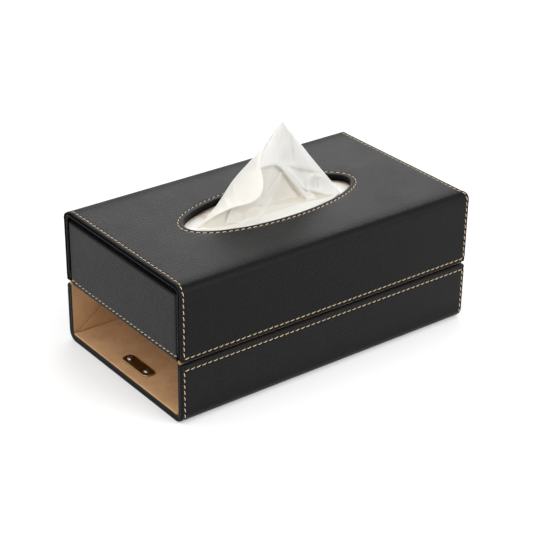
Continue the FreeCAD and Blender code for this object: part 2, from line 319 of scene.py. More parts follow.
def closed_body(rings):
    """Points and triangles of a skin over rings of equal count, with a fan over each end."""
    count, sides = rings.shape[:2]
    table = np.arange(count * sides).reshape(count, sides)
    walls = np.concatenate([strip(table[k], table[k + 1]) for k in range(count - 1)])
    spoke = np.arange(1, sides - 1)
    ends = [np.stack([ring[0 * spoke], ring[spoke + 1], ring[spoke]], -1)
            for ring in (table[0], table[-1, ::-1])]
    return (rings.reshape(-1, 3),
            np.concatenate([walls[:, [0, 1, 2]], walls[:, [0, 2, 3]]] + ends))


def joined(parts):
    """Points and faces of separate bodies, numbered on from one to the next."""
    first = np.cumsum([0] + [len(points) for points, faces in parts])
    return (np.concatenate([points for points, faces in parts]),
            np.concatenate([faces + start for (points, faces), start in zip(parts, first)]))


def channel_ring(steps, half, height, corner):
    """Outline of a channel: steps 0 to 1 along one side from the open edge, 1 to 2 round the
    corner, 2 to 3 to the middle, and mirrored on to 6. Gives Y and the way in."""
    near = np.minimum(steps, 6 - steps)
    turn = np.clip(near - 1, 0, 1) * math.pi / 2
    y = half - corner + corner * np.cos(turn) - np.clip(near - 2, 0, 1) * (half - corner)
    far_in = np.clip(near, 0, 1) * (height - corner) + corner * np.sin(turn)
    return np.where(steps < 3, -y, y), far_in


def piece(name, points, faces, material, body, slot, instead=(), sharp=None, maps=None,
          shade_ink=None):
    """Faces inked at every corner get the black edge ink, which paints shade. Unused points
    go, and the faces are turned outwards by the sign of the volume, a sixth of the sum of
    corner . (corner x corner) over their triangles."""
    used, flat = np.unique(faces, return_inverse=True)
    points, faces = points[used], flat.reshape(faces.shape)
    a, b, c = (points[faces[:, k]] for k in (0, 1, 2))
    volume = np.einsum("ij,ij->i", a, np.cross(b, c)).sum()
    if faces.shape[1] == 4:
        d = points[faces[:, 3]]
        volume += np.einsum("ij,ij->i", a, np.cross(c, d)).sum()
    if volume < 0:
        faces = faces[:, ::-1]
    mesh = bpy.data.meshes.new(name)
    mesh.vertices.add(len(points))
    mesh.vertices.foreach_set("co", (points * MM).astype(np.float32).ravel())
    mesh.loops.add(faces.size)
    mesh.loops.foreach_set("vertex_index", faces.astype(np.int32).ravel())
    mesh.polygons.add(len(faces))
    mesh.polygons.foreach_set("loop_start",
                              np.arange(0, faces.size, faces.shape[1], dtype=np.int32))
    mesh.materials.append(material)
    if shade_ink is not None:
        mesh.materials.append(edge_shade_ink)
        mesh.polygons.foreach_set("material_index",
                                  (shade_ink[used][faces].min(axis=1) > 0.5).astype(np.int32))
    mesh.update(calc_edges=True)
    mesh.validate()
    mesh.shade_smooth()
    for key, values in (maps or {}).items():
        values = values[used]
        if values.ndim == 2:
            spots = np.empty(len(mesh.loops), np.int32)
            mesh.loops.foreach_get("vertex_index", spots)
            mesh.uv_layers.new(name=key).data.foreach_set(
                "uv", values[spots].astype(np.float32).ravel())
        else:
            mesh.attributes.new(key, "FLOAT", "POINT").data.foreach_set(
                "value", values.astype(np.float32))
    if sharp:
        mesh.set_sharp_from_angle(angle=math.radians(sharp))
    made = bpy.data.objects.new(name, mesh)
    bpy.context.scene.collection.objects.link(made)
    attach(made, body)
    if instead:
        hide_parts(*instead)
    return made


def effect(name, inputs, outputs):
    """Empty shader group with numbers for inputs and outputs."""
    tree = bpy.data.node_groups.new(name, "ShaderNodeTree")
    for keys, way in ((inputs, "INPUT"), (outputs, "OUTPUT")):
        for key in keys:
            tree.interface.new_socket(key, in_out=way, socket_type="NodeSocketFloat")
    return tree, tree.nodes.new("NodeGroupInput").outputs, tree.nodes.new("NodeGroupOutput")


def place_effect(tree, group, **values):
    """Outputs of a shader group that is placed in a material with its own values."""
    made = tree.nodes.new("ShaderNodeGroup")
    made.node_tree = group
    for key, value in values.items():
        made.inputs[key].default_value = value
    return made.outputs


# Leather grain: pebbles from a cell pattern, crossed by a fine slanting emboss, over a
# broad unevenness of the hide. Worn is high on the pebbles' crowns.
grain, given, result = effect("leather_grain", ("Pebble", "Emboss"),
                              ("Height", "Worn", "Tone"))
where = on_piece(grain)
cells = node(grain, "TexVoronoi", {"Vector": where, "Scale": given["Pebble"],
                                   "Randomness": 0.9}).outputs["Distance"]
crown = spread(grain, cells, 0.05, 0.62, 1.0, 0.0)
across = node(grain, "VectorMath", {0: where, 1: (0.743, 0.074, -0.669)},
              operation="DOT_PRODUCT").outputs["Value"]
slant = maths(grain, "ADD", maths(grain, "MULTIPLY", across, given["Emboss"]),
              maths(grain, "MULTIPLY", noise(grain, where, 240.0), 5.0))
slant = spread(grain, maths(grain, "SINE", slant), -1.0, 1.0)
hide = noise(grain, where, 55.0, 4.0, 0.55)
height = maths(grain, "ADD", maths(grain, "MULTIPLY", crown, 0.6),
               maths(grain, "MULTIPLY", slant, 0.3))
feed(grain, result, Height=height, Tone=hide,
     Worn=maths(grain, "MULTIPLY", spread(grain, height, 0.45, 0.95), hide))


def carried(tree, name):
    """Value that the mesh carries at each of its points under that name."""
    return node(tree, "Attribute", attribute_name=name).outputs["Fac"]


def leather_finish(name, colour, worn, gloss, specular=0.11, sheen=0.08, shaded=False):
    """Coated leather: dark base, paler crowns, uneven satin gloss and pressed grain; if
    shaded, the attribute "shade" paints shade: it takes it to dull black and lowers its
    specular level and sheen."""
    material, tree, shader = finish_of(name, Specular_IOR_Level=specular, Sheen_Weight=sheen,
                                       Sheen_Roughness=0.45)
    marks = place_effect(tree, grain, Pebble=750.0, Emboss=4300.0)
    surface = between(tree, marks["Worn"], colour, worn)
    if shaded:
        shade = carried(tree, "shade")
        surface = between(tree, shade, surface, shade_black)
        feed(tree, shader, Specular_IOR_Level=spread(tree, shade, 0, 1, specular, 0.01),
             Sheen_Weight=spread(tree, shade, 0, 1, sheen, 0))
    feed(tree, shader, Base_Color=surface,
         Roughness=spread(tree, marks["Tone"], 0.3, 0.7, gloss - 0.03, gloss + 0.03))
    raise_surface(tree, shader, marks["Height"], 0.00019)
    return material


leather = leather_finish("black_leather", leather_black, leather_worn, 0.46, shaded=True)
# Painted shade: a matt black ink for the turned edges' grooves, the shadow gap and the insides
# of the ends, where shade falls.
edge_shade_ink = leather_finish("black_edge_shade_ink", shade_ink_black, shade_ink_worn, 0.8, 0.02, 0.0)

base_side = base_height - base_corner
base_bend = math.pi / 2 * base_corner
base_round = 2 * (base_side + base_bend + half_width - base_corner)
base_a = both_borders(2 * half_length, (half_length,), (3.2,))
base_s = both_borders(base_round, (base_side, base_side + base_bend, base_round / 2),
                      (3.2, 1.6, 4.0))
base_rolls = foot_rolls(base_s, base_side, base_bend, base_round)
outer, inner, shade_ink = turned_skin(base_a, base_s, base_place, (sheet_corner,) * 2,
                                (base_rolls, top_roll), turned_edge, (end_inset, base_inset))
points, faces = closed_sheet(outer, inner)
# Painted shade on the base's end faces and along its foot, which also dulls their gloss.
x, y, z = np.abs(points.T)
end_shade = (end_shade_amount * np.clip((x - end_shade_x) / 0.4, 0, 1)
           * np.clip((half_width - 0.3 - y) / 0.5, 0, 1))
low_shade = low_shade_amount * hump(z, low_shade_height)
piece("base_cover_leather", points, faces, leather, "base", "leather", ("base_leather",),
      sharp=50, shade_ink=shade_ink, maps={"shade": np.maximum(end_shade, low_shade)})

# Bindings: a flat strip of the same leather over each end edge of the bay's lining.
binding_half, binding_height, binding_corner = 69.0, 41.6, 1.0
binding_section = np.array(((124.1, 0), (124.75, 0), (124.88, -0.12), (124.9, -0.5),
                            (124.88, -1.1), (124.75, -1.33), (124.5, -1.4), (124.1, -1.4)))
channel_steps = np.concatenate([np.linspace(0, 1, 16)[:-1], np.linspace(1, 2, 9)[:-1],
                                np.linspace(2, 4, 40)[:-1], np.linspace(4, 5, 9)[:-1],
                                np.linspace(5, 6, 16)])


def end_strips(section, half, height, corner, corner_grows, edge, upward):
    """Pair of strips round a channel's two ends: a section of (X, offset) points carried
    round the outline that those offsets widen, from the open edge up or down."""
    pair = []
    for side in (-1, 1):
        rings = []
        for x, off in section:
            y, way_in = channel_ring(channel_steps, half + off, height + off,
                                     corner + corner_grows * off)
            rings.append(np.stack([side * x + 0 * y, y, edge + upward * way_in], -1))
        points, faces = closed_body(np.stack(rings, 1))
        pair.append((points, faces[:, ::-side]))
    return joined(pair)


piece("bay_bindings", *end_strips(binding_section, binding_half, binding_height,
                                  binding_corner, 0, base_height, -1),
      leather, "base", "leather", ("bay_end_bindings",), sharp=50)


# ---------------------------------------------------------------------------
# Stitching of the base. Waxed linen thread, one raised stitch after another,
# along both top edges and down both ends, pulled down into its needle holes.
# ---------------------------------------------------------------------------

stitch_pitch, stitch_length, stitch_sink, stitch_slant = 4.5, 3.4, 0.12, 0.3
thread_half_width, thread_half_height = 0.32, 0.24
# A stitch from end to end: how far along its half length, its share of the thread's width,
# and how high the thread's middle stands.
stitch_shape = ((-1, 0.35, -0.42), (-0.86, 0.72, -0.04), (-0.5, 0.97, 0.2), (0, 1, 0.25),
                (0.5, 0.97, 0.2), (0.86, 0.72, -0.04), (1, 0.35, -0.42))
lay_length, uneven = 3.4, 0.07
thread_pale = (0.92, 0.74, 0.48, 1)
thread_dark = (0.42, 0.29, 0.17, 1)
thread_hole_shade = (0.10, 0.06, 0.035, 1)

thread, tree, shader = finish_of("linen_thread", Roughness=0.72, Specular_IOR_Level=0.35,
                                 Sheen_Weight=0.15)
lay = node(tree, "UVMap", uv_map="lay").outputs[0]
twist = node(tree, "TexWave", {"Vector": lay, "Scale": 0.9, "Distortion": 0.6,
                               "Detail": 2.0}, bands_direction="DIAGONAL").outputs["Fac"]
fuzz = noise(tree, on_piece(tree), 900.0, 3.0)
along = node(tree, "SeparateXYZ", {0: lay}).outputs[0]
from_middle = maths(tree, "ABSOLUTE", maths(tree, "SUBTRACT", along, lay_length / 2))
strand = between(tree, maths(tree, "MULTIPLY", maths(tree, "ADD", twist, fuzz), 0.6),
                 thread_dark, thread_pale)
# Painted shade: the thread darkens towards both ends of each stitch, where it goes down into
# its needle holes.
feed(tree, shader, Base_Color=between(tree, spread(tree, from_middle, 1.35, 1.68),
                                      strand, thread_hole_shade))
raise_surface(tree, shader, twist, 0.0001, 0.9)


def sew(name, line, ups, body):
    """Row of stitches along a line of points with their upward directions. Each stitch is a
    tapered, slightly slanted thread: its middle arches up and its ends go into the leather.
    Its length is uneven by a sine times a cosine of its place along the row."""
    run = np.append(0, np.cumsum(np.linalg.norm(np.diff(line, axis=0), axis=1)))
    count = max(2, round(run[-1] / stitch_pitch))
    closed = np.allclose(line[0], line[-1])
    mid = (np.arange(count) + 0.5) / count * run[-1]

    def at(far):
        """Points of the line at those distances along it."""
        far = far % run[-1] if closed else far
        return np.stack([np.interp(far, run, line[:, k]) for k in range(3)], -1)

    centre = at(mid)
    tangent = at(mid + 0.6) - at(mid - 0.6)
    tangent /= np.linalg.norm(tangent, axis=1, keepdims=True)
    up = np.stack([np.interp(mid, run, ups[:, k]) for k in range(3)], -1)
    up -= tangent * (up * tangent).sum(1, keepdims=True)
    up /= np.linalg.norm(up, axis=1, keepdims=True)
    across = np.cross(tangent, up)
    size = 1 + uneven * np.sin(mid * 12.9898) * np.cos(mid * 4.1414)
    t, share, arch = np.transpose(stitch_shape)
    turn = np.arange(7) / 7 * 2 * math.pi
    forth = size[:, None, None] * (t * stitch_length / 2)[None, :, None]
    out = (arch - stitch_sink)[:, None] + np.outer(share, np.cos(turn)) * thread_half_height
    side = np.outer(share, np.sin(turn)) * thread_half_width - stitch_slant * t[:, None]
    threads = (centre[:, None, None] + forth[..., None] * tangent[:, None, None]
               + out[None, ..., None] * up[:, None, None]
               + side[None, ..., None] * across[:, None, None])
    sides = len(t) * len(turn)
    one = closed_body(threads[0])[1]
    faces = (one[None] + (np.arange(count) * sides)[:, None, None]).reshape(-1, 3)
    lay = np.stack(np.broadcast_arrays((t[:, None] + 1) * lay_length / 2,
                                       turn[None] / math.pi), -1)
    lay = np.broadcast_to(lay.reshape(1, -1, 2), (count, sides, 2)).reshape(-1, 2)
    piece(name, threads.reshape(-1, 3), faces, thread, body, "suede", maps={"lay": lay})


def seam_on(place, a, s):
    """A seam's line on a leather sheet, and its outward directions, from the difference
    between the places one unit off and on the surface."""
    line = place(a, s, 0.0)
    return line, place(a, s, 1.0) - line


first_stitch, past_bend = 0.6, 7.5
line = np.linspace(0, 1, 400)
long_run = end_inset + line * (2 * half_length - 2 * end_inset)
base_seams = {
    "near_top": (long_run, base_inset + 0 * line),
    "far_top": (long_run, base_round - base_inset + 0 * line),
}
for end, a in (("front", end_inset), ("rear", 2 * half_length - end_inset)):
    down = base_inset + first_stitch + line * (base_side + past_bend - base_inset)
    base_seams["near_" + end] = (a + 0 * line, down)
    base_seams["far_" + end] = (a + 0 * line, base_round - down)
for name, (a, s) in base_seams.items():
    sew("base_stitches_" + name, *seam_on(base_place, a, s), "base")


# ---------------------------------------------------------------------------
# Leather of the cover. The same wrap turned upside down, with the dispensing
# hole cut in its top and the leather turned down round the hole's edge.
# ---------------------------------------------------------------------------

cover_low, cover_high = 47.25, 102.0
cover_inset, low_roll, over_roll = 2.9, 0.5, 0.75
cover_corner = 6.0
# Over the top the leather stops short of the ends by set_back_length: the whole of it over
# the last set_back_full, and none from set_back_reach on; it starts past the corner.
set_back_length, set_back_full, set_back_reach, set_back_start = 2.1, 3.0, 15.0, (4.0, 13.0)
hole_half_length, hole_half_width = 71.0, 26.5
hole_roll, hole_seam = 0.8, 3.7
rim_swell, rim_swell_at, rim_swell_width = 0.10, 1.6, 0.9
patch_half_length, patch_half_width = 84.0, 39.0
hole_rings = (0, 0.06, 0.22, 0.5, 0.8, 1.3, 1.9, 2.5, 3.0, 3.35, 3.7, 4.05, 4.4, 5.0, 5.8)
# The turned edge at the ends: down the walls, with an inner ridge, and over the top. On the
# walls, 1 in the third column is inked black: painted shade in the groove and under the ridge.
side_edge = ((0.02, -1.35, 0), (0.3, -1.6, 1), (0.75, -1.9, 1), (0.8, -2.8, 1),
             (0.5, -3.15, 1), (0.15, -3.3, 0), (0.02, -3.6, 0), (0.02, -3.95, 0),
             (0.15, -4.3, 0), (0.6, -4.45, 1), (0.88, -3.6, 1),
             (0.92, -leather_thickness, 0))
over_edge = ((1.88, -0.8, 0), (1.8, -0.86, 1), (0.85, -0.86, 1), (0.78, -1.15, 1),
             (0.45, -1.35, 1), (0.12, -1.55, 0), (0, -1.75, 0), (0.12, -1.95, 1),
             (0.6, -2.1, 1), (0.85, -2.6, 1), (0.88, -3.6, 1), (0.92, -leather_thickness, 0))
hole_edge = ((0, -4.6), (0.2, -4.85), (0.45, -4.9), (0.7, -4.9), (0.88, -4.9),
             (0.92, -leather_thickness))
# Painted shade: darker along the walls' bend into the top, on the walls, and inside the hole.
crease_shade_amount, crease_width, wall_shade_amount, rim_shade_amount = 0.5, 5.5, 0.16, 0.35


def cover_lining_place(a, s, off):
    """Point of the cover's inner layer: a along X, s round the channel, off outward."""
    y, rise = channel_line(s, off, half_width, cover_high - cover_low, cover_corner)
    return np.stack([a - half_length + 0 * y, y, cover_low + rise], -1)


def eased(value, low, high):
    """0 below low and 1 above high, with the smooth step 3 t^2 - 2 t^3 between."""
    t = np.clip((value - low) / (high - low), 0, 1)
    return t * t * (3 - 2 * t)


def over_top(s, first=-3.0, last=12.0):
    """0 on the cover's walls and 1 on its top; first and last from where the corner starts."""
    return eased(from_border(s, cover_round), cover_side + first, cover_side + last)


def cover_place(a, s, off):
    """Point of the cover's outer leather: as the lining's, with a moved in from both ends by
    the set-back's share there."""
    fading = set_back_reach - set_back_full
    ends = [np.clip((set_back_reach - way) / fading, 0, 1) for way in (a, 2 * half_length - a)]
    back = set_back_length * over_top(s, *set_back_start)
    return cover_lining_place(a + back * (ends[0] - ends[1]), s, off)


def ellipse(turn, out=0.0):
    """Point of the hole's edge at an angle, moved outward square to the edge."""
    normal = np.stack([np.cos(turn) / hole_half_length, np.sin(turn) / hole_half_width], -1)
    normal /= np.linalg.norm(normal, axis=-1, keepdims=True)
    edge = np.stack([hole_half_length * np.cos(turn), hole_half_width * np.sin(turn)], -1)
    return edge + normal * out


cover_side = cover_high - cover_low - cover_corner
cover_bend = math.pi / 2 * cover_corner
cover_round = 2 * (cover_side + cover_bend + half_width - cover_corner)
patch_a = half_length - patch_half_length
patch_s = cover_round / 2 - patch_half_width
cover_a = both_borders(2 * half_length, (patch_a, half_length), (3.2, 3.0))
cover_s = both_borders(cover_round, (cover_side, cover_side + cover_bend, patch_s,
                                     cover_round / 2), (3.2, 1.1, 3.0, 3.0))
plain, sides, over = (np.array(edge) for edge in (turned_edge, side_edge, over_edge))
near_edge = from_border(cover_s, cover_round)
up_wall = eased(near_edge, 2.5, 7.5)
on_top = np.repeat(over_top(cover_s)[None], len(sides), 0)
thinned, moved_in = over_top(cover_s, -4.0, 4.0), over_top(cover_s, *set_back_start)
# The depths and the offsets of the turned edge at each station, from its plain form at the
# low borders to the form of the walls, and to the form over the top.
cover_ends = []
for k, first in ((0, moved_in), (1, thinned)):
    on_top[:3] = first
    cover_ends.append(plain[:, k, None] * (1 - up_wall) + up_wall
                      * (sides[:, k, None] * (1 - on_top) + over[:, k, None] * on_top))
cover_rolls = (edge_roll + (over_roll - edge_roll) * thinned)[None]
outer, inner, shade_ink = turned_skin(cover_a, cover_s, cover_place, (sheet_corner,) * 2,
                                (cover_rolls, low_roll), turned_edge,
                                (end_inset, cover_inset), cover_ends + [sides[:, 2]],
                                cover_lining_place)

# A square patch of the top is taken out, and rings lead from its border to the hole's edge.
top = np.arange(outer[..., 0].size).reshape(outer.shape[:2])
rows = np.flatnonzero(np.abs(cover_a - half_length) < patch_half_length + 1e-6)
cols = np.flatnonzero(np.abs(cover_s - cover_round / 2) < patch_half_width + 1e-6)
patch = top[rows[0]:rows[-1] + 1, cols[0]:cols[-1] + 1]
kept = quads(top)
inside = np.isin(kept, patch).all(axis=1)
loop = border(patch)
rim = outer.reshape(-1, 3)[loop]
turn = np.arctan2(rim[:, 1] / hole_half_width, rim[:, 0] / hole_half_length)


def hole_layer(depths, falls):
    """Rings from the hole's edge outward, and two more that lead to the square patch."""
    rings = [np.column_stack([ellipse(turn, d), np.full(len(turn), cover_high + f)])
             for d, f in zip(depths, falls)]
    last = rings[-1]
    level = np.array((0, 0, cover_high + falls[-1])) + rim * (1, 1, 0)
    rings += [last + (level - last) * k for k in (0.3, 0.65)]
    return np.stack(rings)


depth = np.array(hole_rings)
over = hole_layer(depth, rolled(depth, hole_roll) + seam_groove(depth, hole_seam, 0.3, 0.12)
                  + rim_swell * hump(depth - rim_swell_at, rim_swell_width))
under_depth, under_fall = depth.copy(), np.full(len(depth), -leather_thickness)
under_depth[:len(hole_edge)], under_fall[:len(hole_edge)] = np.transpose(hole_edge)
below = hole_layer(under_depth, under_fall)


def sheet_with_hole(first, grid_points, ring_points):
    """Faces of one layer: the grid without its patch, and the rings that fill the patch."""
    count = grid_points.shape[0] * grid_points.shape[1]
    rings = first + count + np.arange(len(ring_points) * len(loop)).reshape(-1, len(loop))
    rings = np.vstack([rings, first + loop])
    faces = [kept[~inside] + first]
    faces += [strip(rings[k], rings[k + 1]) for k in range(len(rings) - 1)]
    return (np.concatenate([grid_points.reshape(-1, 3), ring_points.reshape(-1, 3)]),
            np.concatenate(faces), rings[0], first + border(top))


high_points, high_faces, high_ring, high_border = sheet_with_hole(0, outer, over)
low_points, low_faces, low_ring, low_border = sheet_with_hole(len(high_points), inner, below)
faces = np.concatenate([high_faces, low_faces[:, ::-1], strip(low_border, high_border),
                        strip(high_ring, low_ring)])
blank = np.zeros(over.shape[0] * over.shape[1])
# Painted shade on the hole's edge, all over the inner layer of the hole's rings, and along
# both walls' bend into the top and on the walls.
rim_shade = blank.copy()
rim_shade[:len(loop)] = rim_shade_amount
crease_shade = np.maximum(
    crease_shade_amount * hump(near_edge - cover_side - cover_bend, crease_width),
    wall_shade_amount * (1 - eased(near_edge, cover_side - 4, cover_side + 8)))
crease_shade = np.broadcast_to(crease_shade, outer.shape[:2])
half = len(shade_ink) // 2
piece("cover_top_leather", np.concatenate([high_points, low_points]), faces, leather,
      "cover", "leather", ("cover_leather",), sharp=50,
      shade_ink=np.concatenate([shade_ink[:half], blank, shade_ink[half:], blank]),
      maps={"shade": np.concatenate([crease_shade.ravel(), rim_shade, 0 * shade_ink[half:], blank + 1])})


# ---------------------------------------------------------------------------
# Stitching of the cover: along both low edges, over both ends, and one ring
# round the hole.
# ---------------------------------------------------------------------------

cover_first_stitch = 0.8
end_start = cover_inset + cover_first_stitch
end_run = end_start + line * (cover_round - 2 * end_start)
cover_seams = {
    "near_low": (long_run, cover_inset + 0 * line),
    "far_low": (long_run, cover_round - cover_inset + 0 * line),
    "front_end": (end_inset + 0 * line, end_run),
    "rear_end": (2 * half_length - end_inset + 0 * line, end_run),
}
for name, (a, s) in cover_seams.items():
    sew("cover_stitches_" + name, *seam_on(cover_place, a, s), "cover")
turns = np.linspace(0, 2 * math.pi, 721)
ring_line = np.column_stack([ellipse(turns, hole_seam), np.full(len(turns), cover_high)])
sew("cover_stitches_hole", ring_line, np.tile((0, 0, 1.0), (len(turns), 1)), "cover")


# ---------------------------------------------------------------------------
# End panels. Boards covered in the same leather, turned round to the back, set
# in from the ends; the cover's pair and the closed rear end of the base.
# ---------------------------------------------------------------------------

# Painted light: the end panels are the same leather as the cover, given a lighter colour for
# the light that falls on the ends.
lit_panel_black = (0.009, 0.009, 0.0099, 1)
lit_panel_worn = (0.0288, 0.0279, 0.0273, 1)
lit_panel_leather = leather_finish("lit_black_panel_leather", lit_panel_black, lit_panel_worn, 0.44,
                               shaded=True)

panel_front, panel_roll = 124.1, 1.5
panel_edge = ((0, -3.5, 0), (0.2, -3.6, 0), (0.5, -3.7, 0), (0.7, -3.7, 0), (0.88, -3.7, 0),
              (0.92, -leather_thickness, 0))
# Painted shadow: darker beside the near wall and under the top, where their shadow falls, over
# these widths.
near_shade_amount, near_shade_width, top_shade_amount, top_shade_width = 0.95, 3.0, 0.5, 1.8


def end_panel(name, side, half, low, high, corners, seam_z, body, board):
    """Flat turned sheet that faces out of one end, with a row of stitches along one edge."""
    def place(a, s, off):
        """Point a across from the near edge, s up from the low edge, off outward."""
        return np.stack([side * (panel_front + off + 0 * a), a - half, low + s], -1)

    a = both_borders(2 * half, (half,), (3.6,))
    s = both_borders(high - low, ((high - low) / 2,), (3.6,))
    outer, inner, _ = turned_skin(a, s, place, corners, (panel_roll, panel_roll), panel_edge)
    points, faces = closed_sheet(outer, inner)
    y, z = points[:, 1], points[:, 2]
    front = np.abs(points[:, 0]) > panel_front - 0.5
    points[:, 0] -= side * front * 0.3 * hump(z - seam_z, 0.5)
    # Painted shadow of the near wall and of the top on the panel.
    panel_shade = np.maximum(near_shade_amount * hump(y + half, near_shade_width),
                     top_shade_amount * hump(high - z, top_shade_width))
    piece(name, points, faces, lit_panel_leather, body, "leather", (board + "_leather",),
          sharp=50, maps={"shade": panel_shade})
    t = np.linspace(-1, 1, 300)
    row = np.column_stack([side * panel_front + 0 * t, t * (half - 0.8),
                           seam_z + 0.9 * np.abs(t) ** 12])
    sew(name + "_stitches", row, np.tile((float(side), 0, 0), (len(t), 1)), body)


# Each panel: name, the way it faces, half width, low and high edge, radius of its low and
# high corners, seam height, body, and the name of its nodes.
for name, *panel in (
        ("front_end", -1, 67.4, 45.3, 95.2, (2.5, 1.2), 49.0, "cover", "front_panel"),
        ("rear_end", 1, 67.4, 45.3, 95.2, (2.5, 1.2), 49.0, "cover", "rear_panel"),
        ("base_end", 1, 67.5, 5.0, 44.9, (1.1, 1.2), 41.6, "base", "base_rear")):
    end_panel(name + "_leather", *panel)
dress(("front_end_backing", "rear_end_backing"), leather)


# ---------------------------------------------------------------------------
# Facings. A narrow strip of leather lines the inside of each end of the cover,
# so a thin second edge shows inside the stitched one.
# ---------------------------------------------------------------------------

facing_half, facing_corner = 69.0, 2.5
facing_low, facing_high = 47.9, 98.5
facing_section = np.array(((120.4, -0.5), (123.6, -0.5), (123.9, -0.58), (124.02, -0.78),
                           (124.04, -0.95), (123.96, -1.15), (123.75, -1.3), (120.4, -1.3)))
# The facings take the black ink all over: painted shade inside the ends.
piece("cover_inner_facings", *end_strips(facing_section, facing_half,
                                         facing_high - facing_low, facing_corner, 1,
                                         facing_low, 1),
      edge_shade_ink, "cover", "leather", ("cover_end_facings",), sharp=50)


# ---------------------------------------------------------------------------
# Suede. Tan microfibre covers the bay lining, whose top is the neck that the
# cover rests on, the deck, the cover's lining and the whole drawer.
# ---------------------------------------------------------------------------

suede_nodes = ("bay_lining", "deck_suede", "cover_lining", "drawer_side_near",
               "drawer_side_far", "drawer_back", "drawer_suede")
suede_pale = (0.66, 0.405, 0.21, 1)
suede_dark = (0.465, 0.265, 0.125, 1)

# Suede nap: short twisted fibres, brushed this way and that in broad patches.
suede, tree, shader = finish_of("tan_suede", Roughness=0.95, Specular_IOR_Level=0.15,
                                Sheen_Weight=0.25, Sheen_Roughness=0.5,
                                Sheen_Tint=(1.0, 0.82, 0.6, 1))
brushed = noise(tree, on_piece(tree), 45.0, 3.0, 0.6)
nap = noise(tree, on_piece(tree), 1500.0, 5.0, 0.75, 0.6)
tone = maths(tree, "ADD", maths(tree, "MULTIPLY", brushed, 0.5),
             maths(tree, "MULTIPLY", nap, 0.5))
feed(tree, shader, Base_Color=between(tree, spread(tree, tone, 0.36, 0.62),
                                      suede_dark, suede_pale))
raise_surface(tree, shader, nap, 0.00025, 0.7)
dress(suede_nodes, suede)

# Drawer walls: covered boards whose raked fronts are skived thin on their outer side, with
# softened edges and a little undercut where they stand on the floor.
wall_low, wall_high, floor_top = 6.0, 44.2, 6.4
wall_inner, wall_outer = 65.4, 67.2
nose_x, wall_back, rake_angle = -120.8, 120.1, math.radians(38.0)
wall_roll, foot_gap, nose_skive, skive_run = 0.55, 0.45, 1.45, 7
rake_run = (wall_high - floor_top) / math.tan(rake_angle)
from_front = np.array((0, 0.06, 0.2, 0.45, 0.9, 1.6, 2.6, 4.0, 6.0, 9.0))
up = np.array((0, 0.4, 0.44, 0.7, 0.95, 1.3, 3, 6, 10, 14, 18, 22, 26, 30, 33, 35.5, 36.8,
               37.4, 37.75, 37.95, 38.1, 38.2))
z = (wall_low + up)[:, None]
front = nose_x + np.maximum(z - floor_top, 0) / (wall_high - floor_top) * rake_run
behind_front = front + from_front[-1]
x = np.hstack([front + from_front,
               behind_front + (wall_back - behind_front) * np.linspace(0, 1, 25)[1:]])
z = z + 0 * x
top_round = -rolled(wall_high - z, wall_roll)
foot = foot_gap * np.clip(1 - np.maximum(z - floor_top - 0.02, 0) / 0.3, 0, 1)
thin = nose_skive * np.clip(1 - (x - front) / skive_run, 0, 1) ** 1.6
soft = 0.12 * np.clip(1 - (x - front) / 0.2, 0, 1) ** 2
inner = np.stack([x, wall_inner + top_round + foot + soft, z], -1)
outer = np.stack([x, wall_outer - top_round - thin - soft, z], -1)
for name, side, instead in (("drawer_near_wall", -1, "drawer_side_near"),
                            ("drawer_far_wall", 1, "drawer_side_far")):
    points, faces = closed_sheet(inner * (1, side, 1), outer * (1, side, 1))
    piece(name, points, faces, suede, "drawer", "suede", (instead,), sharp=60)

# Drawer floor: one sheet, rounded over the front edge of its board and down to the bottom.
floor_section = np.array(((-124.3, 6.0), (-124.3, 5.1), (-124.62, 5.1), (-124.7, 5.25),
                          (-124.7, 5.8), (-124.66, 6.05), (-124.52, 6.26), (-124.3, 6.37),
                          (-124.05, 6.4), (-120, 6.4), (-100, 6.4), (-60, 6.4), (-20, 6.4),
                          (20, 6.4), (60, 6.4), (100, 6.4), (118.3, 6.4), (118.3, 6.0)))
soft_edge = np.array((64.0, 65.0, 65.3, wall_inner))
across = np.concatenate([-soft_edge[::-1], np.linspace(-60, 60, 25), soft_edge])
x, z = floor_section.T
fall = np.interp(np.abs(across), soft_edge[1:], (0, 0.05, 0.17))
rings = np.stack(np.broadcast_arrays(x[None], across[:, None],
                                     z[None] - fall[:, None] * (z > 6.2)), -1)
points, faces = closed_body(rings)
piece("drawer_floor_suede", points, faces, suede, "drawer", "suede", ("drawer_suede",),
      sharp=60)


# ---------------------------------------------------------------------------
# Drawer pull: a flat plate of antiqued brass with round ends, held down by two
# bright domed rivets with washers under the drawer floor.
# ---------------------------------------------------------------------------

plate_x, plate_low, plate_high = -112.4, 6.4, 7.4
plate_half_length, plate_half_width = 16.25, 5.0
plate_round = 4.2
# Rings of the plate from its foot to its middle: how far in, how high, and how far the
# patina is rubbed away.
plate_rings = ((0, 0, 0.25), (0, 0.55, 0.75), (0.07, 0.76, 1), (0.2, 0.9, 1),
               (0.42, 0.98, 0.8), (0.7, 1.0, 0.45), (1.1, 0.99, 0.2), (1.7, 0.965, 0.08),
               (2.4, 0.955, 0.04), (3.1, 0.95, 0.03))
rivet_half_spacing, rivet_radius, rivet_height, rivet_rim = 10.5, 2.2, 1.3, 0.12
shank_radius, shank_low = 1.0, -2.2

brass_dark = (0.17, 0.105, 0.038, 1)
brass_rubbed = (0.52, 0.38, 0.18, 1)
steel_dark, steel_bright = (0.34, 0.33, 0.31, 1), (0.46, 0.45, 0.43, 1)


def rounded_outline(turn, half_a, half_b, corner, radius):
    """Rounded rectangle as quarter turns of that radius about the four centres that a corner
    of the full radius has."""
    a, b = np.cos(turn), np.sin(turn)
    return (np.sign(a) * (half_a - corner) + radius * a,
            np.sign(b) * (half_b - corner) + radius * b)


